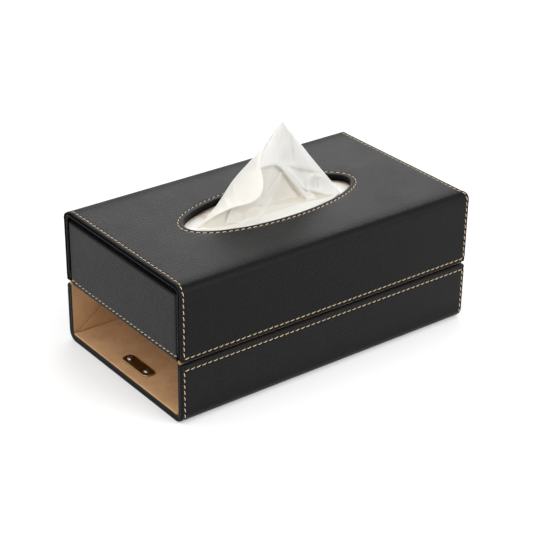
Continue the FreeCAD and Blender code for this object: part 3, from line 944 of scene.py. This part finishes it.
turn = np.linspace(0, 2 * math.pi, 97)[:-1]
rings = []
for inset, rise, _ in plate_rings:
    y, x = rounded_outline(turn, plate_half_length, plate_half_width, plate_round,
                           plate_round - inset)
    rings.append(np.column_stack([plate_x + x, y, plate_low + rise + 0 * x]))
points, triangles = closed_body(np.stack(rings))
rubbed = np.repeat(np.array(plate_rings)[:, 2], len(turn))

brass, tree, shader = finish_of("antique_brass", Metallic=1.0)
patina = noise(tree, on_piece(tree), 420.0, 6.0, 0.7)
drawn_out = node(tree, "Mapping", {"Vector": on_piece(tree), "Scale": (6.0, 0.4, 1.0)})
scratches = noise(tree, drawn_out.outputs[0], 900.0)
bare = maths(tree, "ADD", carried(tree, "rubbed"),
             spread(tree, patina, 0.52, 0.72, 0.0, 0.5))
feed(tree, shader,
     Base_Color=between(tree, spread(tree, bare, 0.1, 1.1), brass_dark, brass_rubbed),
     Roughness=spread(tree, maths(tree, "ADD", patina, scratches), 0.8, 1.25, 0.28, 0.5))
raise_surface(tree, shader, scratches, 0.00003, 0.5)
piece("pull_bar", points, triangles, brass, "drawer", "antique_brass", ("pull_plate",),
      sharp=60, maps={"rubbed": rubbed})

# Rivets: a shank through the plate, and a dome over a short upright rim, turned on its axis.
steel, tree, shader = finish_of("bright_steel", Metallic=1.0)
smudge = noise(tree, on_piece(tree), 700.0, 3.0)
feed(tree, shader, Base_Color=between(tree, smudge, steel_dark, steel_bright),
     Roughness=spread(tree, smudge, 0.3, 0.7, 0.14, 0.26))
turn = np.linspace(0, math.pi / 2, 9)
turn[-1] -= 0.02
profile = np.concatenate([[(shank_radius, shank_low), (shank_radius, 0), (rivet_radius, 0)],
                          np.column_stack([rivet_radius * np.cos(turn),
                                           rivet_rim + (rivet_height - rivet_rim)
                                           * np.sin(turn)])])
reach, rise = profile.T[:, :, None]
spin = np.arange(36)[None] / 36 * 2 * math.pi
heads = [closed_body(np.stack([plate_x + reach * np.cos(spin), y + reach * np.sin(spin),
                               plate_high + rise + 0 * spin], -1))
         for y in (-rivet_half_spacing, rivet_half_spacing)]
piece("pull_rivet_heads", *joined(heads), steel, "drawer", "bright_metal",
      ("pull_rivets",), sharp=50)
dress(("rivet_washers",), steel)


# ---------------------------------------------------------------------------
# Tissues. The folded stack fills the compartment; its top layer swells a
# little under the hole, and the stack's sides show the edges of the layers.
# ---------------------------------------------------------------------------

pack_half_length, pack_half_width = 115.0, 57.5
pack_low, pack_top, pack_round = 47.6, 95.2, 4.0
# How dark the painted shade on the stack's top is under the hole's rim, and how wide.
rim_tone, rim_tone_width = 0.8, 2.6
tissue_white = (0.98, 0.965, 0.915, 1)
# The stack's paper is given a whiter low tone than the raised sheet's: painted light, lifting
# the stack under the cover's shade.
tissue_stack_lit = (0.98, 0.975, 0.95, 1)
tissue_shade = (0.96, 0.935, 0.87, 1)
# The dark warm tone of painted shade on the paper.
tissue_shadow = (0.62, 0.52, 0.34, 1)

# Paper fibre: a fine felt of noise, and the faint dimples of the crepe.
crepe, given, result = effect("paper_crepe", ("Fine", "Dimple"), ("Height", "Tone"))
felt = noise(crepe, on_piece(crepe), given["Fine"], 4.0, 0.7)
dimple = noise(crepe, on_piece(crepe), given["Dimple"])
feed(crepe, result, Tone=felt,
     Height=maths(crepe, "MULTIPLY", maths(crepe, "ADD", felt, dimple), 0.5))


def paper(name, see_through, low_tone):
    """Soft white paper: fibre mottle, crepe bump, and light scattered through the sheet;
    what the mesh carries as "deep" is painted shade, which takes it to the dark warm tone of
    shaded hollows."""
    material, tree, shader = finish_of(name, Roughness=0.9, Specular_IOR_Level=0.15,
                                       Sheen_Weight=0.1, Subsurface_Weight=see_through,
                                       Subsurface_Scale=0.004)
    shader.inputs["Subsurface Radius"].default_value = (1.0, 0.95, 0.88)
    marks = place_effect(tree, crepe, Fine=2600.0, Dimple=700.0)
    surface = between(tree, spread(tree, marks["Tone"], 0.3, 0.7), low_tone, tissue_white)
    feed(tree, shader, Base_Color=between(tree, carried(tree, "deep"), surface, tissue_shadow))
    raise_surface(tree, shader, marks["Height"], 0.00012, 0.5)
    return material


# The stack: one ring for each of the layer edges that show, which are never quite in line,
# three round its upper edge, and rings that shrink to the middle of its top.
edge_low, edge_rings = pack_top - 1.2, ((0.5, 0.6), (1.4, 1.0), (3.0, 1.2))
outlines = [(0.35 + 0.28 * math.sin(k * 2.39) * math.sin(k * 0.7 + 1), z)
            for k, z in enumerate(np.linspace(pack_low, edge_low, 40))]
outlines += [(inset, edge_low + rise) for inset, rise in edge_rings]
turn = np.linspace(0, 2 * math.pi, 361)[:-1]
rings = []
for inset, z in outlines:
    x, y = rounded_outline(turn, pack_half_length, pack_half_width, pack_round,
                           pack_round - inset)
    rings.append(np.column_stack([x, y, z + 0 * x]))
rings += [rings[-1] * (k, k, 1) for k in np.append(np.linspace(1, 0, 26)[1:-1], 0.008)]


def swell(x, y):
    """Rise of the top layers under the hole: a low dome with a few long soft creases."""
    dome = np.exp(-(x / 62) ** 4 - (y / 22) ** 4)
    crease = 0.35 * np.sin(y * 0.42 + 0.02 * x) + 0.25 * np.sin(x * 0.09 + y * 0.21 + 1)
    return dome * (1.1 + crease)


rings = np.stack(rings)
lid = rings[len(outlines) - len(edge_rings):]
lid[..., 2] += swell(lid[..., 0], lid[..., 1])
stack_points, triangles = closed_body(rings)
x, y, z = stack_points.T
# Painted shade on the stack's top near the rear of the hole's rim, where the rim shades it.
rim_gap = (1 - np.hypot(x / hole_half_length, y / hole_half_width)) * hole_half_width
shaded = rim_tone * hump(rim_gap, rim_tone_width) * np.clip(0.4 + y / 12, 0, 1)
piece("tissue_stack", stack_points, triangles,
      paper("stacked_tissue", 0.0, tissue_stack_lit), "base", "tissue", ("tissue_pack",),
      sharp=60, maps={"deep": shaded * (z > pack_top - 0.5)})


# ---------------------------------------------------------------------------
# The raised tissue. The part of a folded sheet that stands out of the hole: a
# front flap with a free edge, the main face with its folds, and a back layer.
# ---------------------------------------------------------------------------

# Lines of the sheet in millimetres, each from the hole up to the point.
flap_edge = ((-59.2, 2, 97.7), (-57.7, 0, 99.9), (-55.5, -3, 103.3), (-51.3, -6.5, 107.4),
             (-45.4, -10, 110.9), (-38.8, -12.5, 113.1), (-30.1, -14.5, 113.7),
             (-24, -15.5, 115), (-19.7, -15.5, 117.3), (-16.6, -14.5, 121.4),
             (-15.2, -12.8, 126.4), (-15, -10.5, 133), (-14.9, -8.8, 138.4),
             (-12.8, -7, 143.2), (-8.3, -5, 147.3), (-1.2, -3.3, 153), (2.5, -3, 157),
             (5.9, -2.8, 159.2), (8.9, -2.5, 161.2))
left_fold = ((-59.4, 2.4, 97.6), (-55.1, 1.2, 102.1), (-50.8, 0.2, 106.6),
             (-46.3, -0.7, 111.2), (-42.5, -1.3, 115.9), (-37.8, -1.8, 122),
             (-32.9, -2.1, 127.5), (-27.2, -2.3, 132.3), (-22.1, -2.4, 135.9),
             (-17.1, -2.5, 139.6), (-12, -2.5, 143.5), (-6, -2.5, 148.1),
             (-0.9, -2.4, 152.8), (2.6, -2.3, 157.1), (6.2, -2.1, 159.3), (9, -2, 161.3))
right_fold = ((56.5, -8.6, 97.1), (57, -4.5, 99.8), (53.8, -2.5, 104.3), (48.5, -2, 111.1),
              (43.7, -2, 117), (34.3, -2, 128.7), (29.6, -2, 134.9), (25, -2, 140.8),
              (16, -2, 152.3), (11.5, -2, 158.2), (9.6, -2, 161.3))
back_edge = ((-47, 6.5, 96.7), (-40, 4.5, 108), (-30, 2.5, 122), (-18, 1, 134),
             (-5, -0.5, 146), (4, -1.3, 156), (9.3, -1.4, 161.2))

# Lines across its foot, each from the left end of the hole to the right.
foot_line = ((-59.1, 2.8, 97.3), (-54.8, -0.6, 97), (-49.6, -4, 97), (-42.1, -6.5, 97),
             (-33.9, -7, 97), (-24.9, -7.6, 97), (-15.6, -7.8, 97), (-7.7, -6.6, 97),
             (0.1, -6.8, 97), (8.8, -7, 97), (19.7, -6.7, 97), (28.8, -7.7, 97),
             (34.8, -9.3, 97), (42.1, -10.5, 97), (47.4, -10.7, 97), (56.4, -8.7, 97.1))
front_line = ((-59.4, 2.2, 96.5), (-56.2, -2.4, 96.5), (-51.3, -6.3, 96.5),
              (-44.3, -9.6, 96.5), (-36.8, -11.2, 96.5), (-28.3, -13.2, 96.5),
              (-19.9, -15.2, 96.5), (-13.4, -16.6, 96.5), (-6.2, -17.6, 96.5),
              (2.1, -18.4, 96.5), (13, -18.2, 96.5), (23.5, -17.3, 96.5),
              (31.4, -16.4, 96.5), (40.4, -15, 96.5), (46.4, -13.8, 96.5),
              (56.6, -9.6, 96.5))
back_line = ((56.5, -8.6, 97.1), (56, 2, 96.8), (42, 8.5, 96.6), (20, 11, 96.5),
             (-5, 12, 96.5), (-30, 10.5, 96.5), (-47, 6.5, 96.7))

# Folds of the main face, as lines on a slanting plane that faces the drawer's near corner.
plane_right = np.array((0.8002, -0.5997, 0.0087))
plane_up = np.array((0.2703, 0.3736, 0.8873))
plane_out = np.array((-0.5354, -0.7076, 0.4611))
plane_low = np.array((0, 0, 96.0))


def smooth_weights(knots, count):
    """Weights of each point of a line along its way, so that the curve passes through all
    of them with a continuous slope: on each span, the four cubic Catmull-Rom weights."""
    place = np.linspace(0, knots - 1, count)
    span = np.minimum(place.astype(int), knots - 2)
    t = place - span
    cubic = np.stack([-t + 2 * t ** 2 - t ** 3, 2 - 5 * t ** 2 + 3 * t ** 3,
                      t + 4 * t ** 2 - 3 * t ** 3, -t ** 2 + t ** 3], -1) / 2
    weights = np.zeros((count, knots))
    for k in range(4):
        spot = np.clip(span + k - 1, 0, knots - 1)
        np.add.at(weights, (np.arange(count), spot), cubic[:, k])
    return weights


def even(points, count):
    """Smooth curve through the points, cut into equal lengths."""
    curve = smooth_weights(len(points), 600) @ np.array(points)
    run = np.append(0, np.cumsum(np.linalg.norm(np.diff(curve, axis=0), axis=1)))
    far = np.linspace(0, run[-1], count)
    return np.stack([np.interp(far, run, curve[:, k]) for k in range(3)], -1)


def spanned(left, right, low):
    """Surface through three border curves and a straight top: the sum of both rulings less
    the corners'."""
    t = np.linspace(0, 1, len(left))[:, None, None]
    u = np.linspace(0, 1, len(low))[None, :, None]
    high = left[-1] + (right[-1] - left[-1]) * u[0]
    across = (1 - u) * left[:, None] + u * right[:, None]
    upward = (1 - t) * low[None] + t * high[None]
    corners = ((1 - u) * (1 - t) * low[0] + u * (1 - t) * low[-1]
               + (1 - u) * t * high[0] + u * t * high[-1])
    return across + upward - corners


def from_line(u, v, line):
    """Distance from a line of points, positive on the left of its run, and the share run."""
    best, signed, share = np.full(u.shape, 1e9), np.zeros(u.shape), np.zeros(u.shape)
    for k, ((a, b), (c, d)) in enumerate(zip(line, line[1:])):
        run_u, run_v = c - a, d - b
        t = np.clip(((u - a) * run_u + (v - b) * run_v) / (run_u ** 2 + run_v ** 2), 0, 1)
        out_u, out_v = u - a - t * run_u, v - b - t * run_v
        far = np.hypot(out_u, out_v)
        near = far < best
        side = np.where(run_u * out_v - run_v * out_u < 0, -1, 1)
        best, signed = np.where(near, far, best), np.where(near, side * far, signed)
        share = np.where(near, (k + t) / (len(line) - 1), share)
    return signed, share


def lap(u, v, line, high, over, deep, under, sharp):
    """Fold that laps over: high at the line and dying away over the left; on the right it
    drops within sharp to deep below and comes back over under."""
    far = from_line(u, v, line)[0]
    away = np.minimum(far, 0)
    return np.where(far > 0, high * np.exp(-far / over),
                    (high + deep) * np.exp(away / sharp) - deep * np.exp(away / under))


def crest(u, v, line, high, start, end, power=2):
    """Rounded or flat-topped ridge whose half width goes from start to end along its run."""
    far, share = from_line(u, v, line)
    return high * np.exp(-np.abs(far / (start + (end - start) * share ** 1.5)) ** power)


def fade(share, rise, fall):
    """0 at both ends of a share and 1 between: up over 1 / rise and down over 1 / fall."""
    return np.clip(share * rise, 0, 1) * np.clip((1 - share) * fall, 0, 1)


# Laps, with high, over, deep, under and sharp; then crests, with height, the half width at
# both ends, and 2 for a round or 4 for a flat top.
laps = (
    (((-5.6, 27.4), (-0.8, 29.3), (4.1, 30), (7.6, 28.7), (10.4, 25.8), (14.7, 20.5),
      (19, 15.5), (23.3, 11.2), (27.7, 6.4)), 2.6, 6.0, 2.2, 5.0, 0.9),
    (((32.9, 7.7), (26.2, 14.1), (21.8, 19.1), (16.1, 25), (12.5, 28.3)),
     0.7, 3.0, 0.8, 4.0, 1.2),
    (((-5, 2.6), (4.1, 5.6), (14.7, 8.4), (24.1, 9.9)), 0.8, 6.0, 1.6, 4.0, 1.0),
    (((6.8, 34.8), (8.2, 39.6), (10.7, 43.8), (13.1, 50)), 0.9, 6.0, 0.6, 4.0, 0.8),
    (((17.5, 29.2), (23.9, 28.5), (30.4, 27.4), (38.5, 26.1)), 0.7, 7.0, 1.0, 3.5, 1.2),
    (((28, 13.4), (31.3, 12.5), (36.5, 11.7), (44.7, 9.9)), 1.2, 4.0, 1.0, 2.0, 0.6),
    (((-26.9, -1.8), (-28.7, -7.3), (-30.4, -13.1)), 1.2, 4.0, 1.2, 5.0, 0.7),
)
crests = (
    (((7.9, 24.6), (6.2, 21.2), (3, 14.9), (-2.2, 7.1), (-7.1, 0.5), (-13.3, -6.9)),
     1.3, 0.6, 4.3, 4),
    (((15.2, 48.8), (15.9, 42.1), (16.4, 33.9)), -0.5, 1.3, 1.3, 2),
    (((27.3, 14.1), (26.9, 17.6), (28, 20.7), (30.1, 23.3), (32.6, 24.4), (35.6, 24),
      (38.5, 23)), 1.5, 1.6, 1.6, 2),
    (((34.4, 16.1), (34, 20), (35.2, 21.8), (37.8, 22.7)), -0.8, 1.0, 1.0, 2),
    (((-29, -10.9), (-21.6, -10.1)), -0.8, 0.9, 0.9, 2),
    (((-42.7, -9), (-40.4, -13.7)), 0.8, 1.5, 1.5, 2),
)
flap_crests = (
    (((-24.7, 15.7), (-24.1, 8.4), (-22.8, 1)), 0.5, 1.5, 1.5, 2),
    (((-31.5, 7.4), (-28.9, 1.5)), 0.4, 1.5, 1.5, 2),
)


def patch(u, v, amount, soft, outline):
    """Painted shade where the paper is one layer thin or lies in a hollow: the amount inside
    the outline, none outside, an even step between. Inside, a ray crosses the outline an odd
    number of times."""
    loop = outline + outline[:1]
    inside = np.zeros(u.shape, bool)
    for (a, b), (c, d) in zip(loop, loop[1:]):
        if b != d:
            inside ^= ((b > v) != (d > v)) & (u < a + (v - b) * (c - a) / (d - b))
    far = np.abs(from_line(u, v, loop)[0])
    return amount * np.clip(0.5 + np.where(inside, far, -far) / (2 * soft), 0, 1)


# Painted shade on the thin and shaded places of the main face, as amount, softness and
# outline.
patches = (
    (0.34, 1.8, ((-5.6, 28.4), (-0.8, 29.3), (4.1, 29.9), (7.6, 29), (10.4, 26.8), (9.7, 24),
                 (7.6, 25), (4.1, 25.8), (-0.8, 25.2), (-5.3, 24))),
    (0.28, 1, ((-5.3, 24.7), (-0.8, 25.9), (6.9, 25.3), (2.7, 14.9), (-2.2, 7.5), (-7.1, 4.2),
               (-5, 9.1), (-3.9, 15.9))),
    (0.34, 0.6, ((7.9, 24.6), (8.6, 24), (5.5, 15), (0.6, 5.9), (-3.6, -1.2), (-8.5, -6.4),
                 (-16.8, -7.7), (-15.4, -2.9), (-9.2, 1.4), (-2.2, 7.5), (3, 14.9))),
    (0.5, 1, ((9, 25), (14.7, 21.5), (20.4, 14.9), (24.8, 9.5), (26.3, 6.7), (19, 8.9),
              (11.2, 7.6), (-0.1, 3.8), (5.5, 15))),
    (0.48, 2.0, ((9.7, 25.4), (12.5, 24.2), (16.8, 19.6), (21.9, 13.6), (25.5, 8.8),
                 (22.6, 9.4), (16.8, 15.4), (11.8, 20.7))),
    (0.62, 1.4, ((-0.8, 3.4), (7.6, 6.4), (14.7, 8.8), (21.9, 9.7), (26.3, 6.7), (27.8, 5.4),
                 (20.5, 4.5), (11.2, 2.4), (4.1, 1.8))),
    (0.42, 1, ((-1.5, 3), (7.6, 4), (20.5, 5.1), (26.3, 5.7), (19.8, 3.7), (11.2, 0.7),
               (4.1, -1.6), (-2.2, -3.9), (-6.4, -5.7), (-3.6, -0.5))),
    (0.42, 1.3, ((17.5, 29.2), (23.2, 29.6), (30.4, 28.5), (36.3, 26.7), (33.4, 25.5),
                 (27.5, 26.6), (21, 26.6))),
    (0.25, 1.6, ((28.3, 18.7), (30.5, 20.9), (33.4, 21.3), (34.2, 16.8), (31.3, 15),
                 (28.7, 15.2))),
    (0.4, 1.4, ((33.6, 21), (35.2, 22.1), (35.5, 17.6), (34.2, 15.4))),
    (0.78, 0.9, ((28.4, 14.5), (32.8, 13.3), (39.4, 11.4), (46.1, 10.6), (41, 8.3), (33.6, 7),
                 (32.1, 10.5))),
    (0.6, 0.8, ((-47.7, -13.5), (-43, -9.7), (-37.7, -5.8), (-32.3, -3.3), (-27.6, -2.2),
                (-30.4, -12.8), (-39.1, -14))),
    (0.62, 1, ((-27.6, -2.2), (-20.1, 0.1), (-13.3, 2.3), (-9.1, 4.2), (-10.5, 1.4),
               (-14.7, -2.2), (-18.1, -5), (-20.2, -3.7), (-24.2, -2.8))),
    (0.36, 1, ((-26.9, -2.8), (-20.2, -3.7), (-17.4, -5.7), (-18.8, -9.1), (-22.9, -10.2),
               (-29, -10.7))),
    (0.72, 0.8, ((-29.7, -10.7), (-22.9, -9.7), (-20.9, -10.5), (-25.7, -12), (-30.4, -12.8))),
    (0.5, 1, ((-18.1, -5), (-14.7, -2.8), (-16.1, -7.7), (-20.2, -9.5), (-19.5, -6.4))),
    (0.26, 1.5, ((14.8, 48.7), (16.3, 46.1), (17, 39.4), (16.7, 34), (14.9, 33.9),
                 (14.5, 40.6))),
    (0.2, 2, ((8.2, 38.9), (11, 43.1), (14.5, 40.6), (14.9, 33.9), (9.6, 32.9), (7.2, 34.8))),
    (0.18, 3, ((3.3, 53.3), (6.8, 56.9), (9.5, 59.8), (13.8, 54), (11.7, 48.5), (4, 46),
               (1.2, 47.9))),
    (0.2, 2, ((37.8, 21.2), (43.7, 20.7), (49.8, 14.6), (44.6, 10.9), (37.9, 12.8))),
)

up_count, flap_count, main_count, back_count, flat_count = 170, 50, 170, 40, 12
fold_scale, ripple, flap_bow, foot_puff = 1.25, 0.16, 1.6, 0.25
# Painted shade: a scale for the outlined places, the amounts at the foot and on the flap and
# back layer, and in the hollows the most it reaches and the depth it is scaled by.
patch_tone, foot_tone, layer_tone, hollow_tone, hollow_depth = 0.8, 0.4, 0.23, 0.4, 5.0
tissue_thickness = 0.3
edge, left = even(flap_edge, up_count), even(left_fold, up_count)
right, behind = even(right_fold, up_count), even(back_edge, up_count)
foot, front = even(foot_line, main_count), even(front_line, main_count)

# The main face: folds and a faint ripple stand off the spanned surface, calm at its borders.
foot[0], foot[-1] = left[0], right[0]
main = spanned(left, right, foot)
t, u = np.meshgrid(np.linspace(0, 1, up_count), np.linspace(0, 1, main_count), indexing="ij")
across, upward = (main - plane_low) @ plane_right, (main - plane_low) @ plane_up
relief = sum(lap(across, upward, *fold) for fold in laps)
relief += sum(crest(across, upward, *fold) for fold in crests)
relief += ripple * np.sin(u * 53 + 4 * np.sin(t * 6)) * np.sin(u * 19 - t * 5) * (1 - t)
relief *= fold_scale * fade(u, 14, 10) * fade(t, 12, 8)
main = main + plane_out * relief[..., None]
# Painted shade: darker in the hollows of the folds, in the outlined places and along the foot.
deep = np.clip(-relief / hollow_depth, 0, hollow_tone)
for amount, soft, outline in patches:
    deep = np.maximum(deep, patch(across, upward, patch_tone * amount, soft, outline))
deep = np.maximum(deep, foot_tone * hump(t, 1 / 45) * eased(u, 0.36, 0.42)
                  * (1 - eased(u, 0.86, 0.92)))

# The lip in front of it, which lies on the stack with a slight puff.
flat = front[None] + (foot - front)[None] * np.linspace(0, 1, flat_count)[:, None, None]
flat[..., 2] += (foot_puff * np.sin(np.linspace(0, 1, flat_count) * math.pi)[:, None]
                 * (1 + np.sin(np.linspace(0, 40, main_count)))[None])

# The flap, from its free edge to the left fold, bowed out between them.
k = np.linspace(0, 1, flap_count)[None, :, None]
bow = np.sin(np.linspace(0, math.pi, up_count))[:, None, None] * np.sin(k * math.pi)
flap = edge[:, None] * (1 - k) + left[:, None] * k + plane_out * flap_bow * bow
across, upward = (flap - plane_low) @ plane_right, (flap - plane_low) @ plane_up
relief = sum(crest(across, upward, *fold) for fold in flap_crests) * fade(k[..., 0], 6, 6)
flap = flap + plane_out * relief[..., None]

# The back layer, in loose upright waves that die away towards the point.
rear_low = even(back_line, back_count)
rear_low[0], rear_low[-1] = right[0], behind[0]
rear = spanned(right, behind, rear_low)
t, u = np.meshgrid(np.linspace(0, 1, up_count), np.linspace(0, 1, back_count), indexing="ij")
rear[..., 1] += ((1.6 * np.sin(u * 17 + 1) + 0.9 * np.sin(u * 31 + t * 3)) * (1 - t)
                 * fade(u, 5, 5) * np.clip(t * 6, 0, 1))

# One mesh of lip, main face, flap and back layer, which share the points of their borders.
columns = np.concatenate([flat[:-1], main])
main_table = np.arange(columns[..., 0].size).reshape(columns.shape[:2])
flap_table = main_table.size + np.arange(up_count * (flap_count - 1)).reshape(up_count, -1)
back_table = (main_table.size + flap_table.size
              + np.arange(up_count * (back_count - 1)).reshape(up_count, -1))
wall_rows = main_table[flat_count - 1:]
faces = np.concatenate([quads(main_table),
                        quads(np.column_stack([flap_table, wall_rows[:, 0]])),
                        quads(np.column_stack([wall_rows[:, -1], back_table]))])
points = np.concatenate([columns.reshape(-1, 3), flap[:, :-1].reshape(-1, 3),
                         rear[:, 1:].reshape(-1, 3)])
# Painted shade: none on the lip, and an even amount on the flap and the back layer.
deep = np.concatenate([np.zeros(flat[:-1, :, 0].size), deep.ravel(),
                       np.full(up_count * (flap_count + back_count - 2), layer_tone)])
raised = piece("raised_tissue", points, faces, paper("raised_tissue", 0.5, tissue_shade),
               "tissue", "tissue", ("tissue_sheet",), maps={"deep": deep})
thick = raised.modifiers.new("thickness", "SOLIDIFY")
thick.thickness, thick.offset = tissue_thickness * MM, 0.0


# ---------------------------------------------------------------------------
# The room: a white floor that keeps the object's soft shadow, a pale world,
# soft lamps above, and the camera.
# ---------------------------------------------------------------------------

floor_half, floor_grey = 4, (0.76, 0.76, 0.76, 1)
glow_from_to, glow_near, world_light = (0.4, 1.6), 0.245, 0.72


def looked_at(tree):
    """1 for what the camera sees, straight or in gloss or glass, and 0 for light."""
    ray = node(tree, "LightPath").outputs
    return maths(tree, "MAXIMUM", ray["Is Camera Ray"],
                 maths(tree, "MAXIMUM", ray["Is Glossy Ray"], ray["Is Transmission Ray"]))


mesh = bpy.data.meshes.new("floor")
corners = ((-1, -1, 0), (1, -1, 0), (1, 1, 0), (-1, 1, 0))
mesh.from_pydata(np.array(corners) * floor_half, [], [(0, 1, 2, 3)])
floor = bpy.data.objects.new("floor", mesh)
bpy.context.scene.collection.objects.link(floor)
floor_finish = bpy.data.materials.new("white_floor")
floor_finish.use_nodes = True
tree = floor_finish.node_tree
tree.nodes.remove(tree.nodes["Principled BSDF"])
matt = node(tree, "BsdfDiffuse", {"Color": floor_grey})
way_out = node(tree, "VectorMath", {0: on_piece(tree)}, operation="LENGTH").outputs["Value"]
lift = spread(tree, way_out, *glow_from_to, glow_near, 1.0)
glow = node(tree, "Emission", {"Color": (1, 1, 1, 1),
                               "Strength": maths(tree, "MULTIPLY", looked_at(tree), lift)})
both = node(tree, "AddShader", {0: matt.outputs[0], 1: glow.outputs[0]})
feed(tree, tree.nodes["Material Output"], Surface=both.outputs[0])
mesh.materials.append(floor_finish)

world = bpy.data.worlds.new("pale_room")
bpy.context.scene.world = world
world.use_nodes = True
tree = world.node_tree
sky = tree.nodes["Background"]
sky.inputs["Color"].default_value = (1, 1, 1, 1)
feed(tree, sky, Strength=spread(tree, looked_at(tree), 0, 1, world_light, 1.0))


def lamp(name, place, aim, size, power):
    """Soft square lamp that faces a point."""
    data = bpy.data.lights.new(name, "AREA")
    data.shape, data.size, data.energy = "SQUARE", size, power
    made = bpy.data.objects.new(name, data)
    bpy.context.scene.collection.objects.link(made)
    made.location = place
    made.rotation_euler = (Vector(aim) - Vector(place)).to_track_quat("-Z", "Y").to_euler()


# Each lamp: name, place, the point that it faces, width in metres and power in watts.
for softbox in (("top_softbox", (-0.25, 0.15, 1.3), (0, 0, 0.05), 1.1, 4.5),
                ("left_softbox", (-1.1, -0.35, 0.7), (0, 0, 0.05), 0.8, 3.2),
                ("front_softbox", (0.45, -1.15, 0.95), (0, 0, 0.1), 0.9, 12.0),
                ("back_softbox", (0.8, 1.05, 0.75), (0, 0, 0.08), 0.9, 5.0)):
    lamp(*softbox)

# The camera: where its eye is, how it is turned, and its lens in pixels of a frame of 533.
eye = np.array((-622.14, -819.83, 584.94)) * MM
azimuth, elevation, roll = (math.radians(x) for x in (-37.113, 27.456, 0.565))
lens_pixels, frame_pixels, sensor = 1612.26, 533, 36
back = np.array((math.sin(azimuth) * math.cos(elevation),
                 -math.cos(azimuth) * math.cos(elevation), math.sin(elevation)))
right = np.cross(-back, (0, 0, 1.0))
right /= np.linalg.norm(right)
up = np.cross(right, -back)
right, up = (right * math.cos(roll) + up * math.sin(roll),
             up * math.cos(roll) - right * math.sin(roll))
camera = bpy.data.objects.new("camera", bpy.data.cameras.new("camera"))
bpy.context.scene.collection.objects.link(camera)
camera.matrix_world = Matrix([(right[k], up[k], back[k], eye[k]) for k in range(3)]
                             + [(0, 0, 0, 1)])
camera.data.sensor_width = sensor
camera.data.lens = lens_pixels / frame_pixels * sensor
camera.data.clip_start, camera.data.clip_end = 0.05, 20
bpy.context.scene.camera = camera
bpy.context.scene.view_settings.view_transform = "Standard"
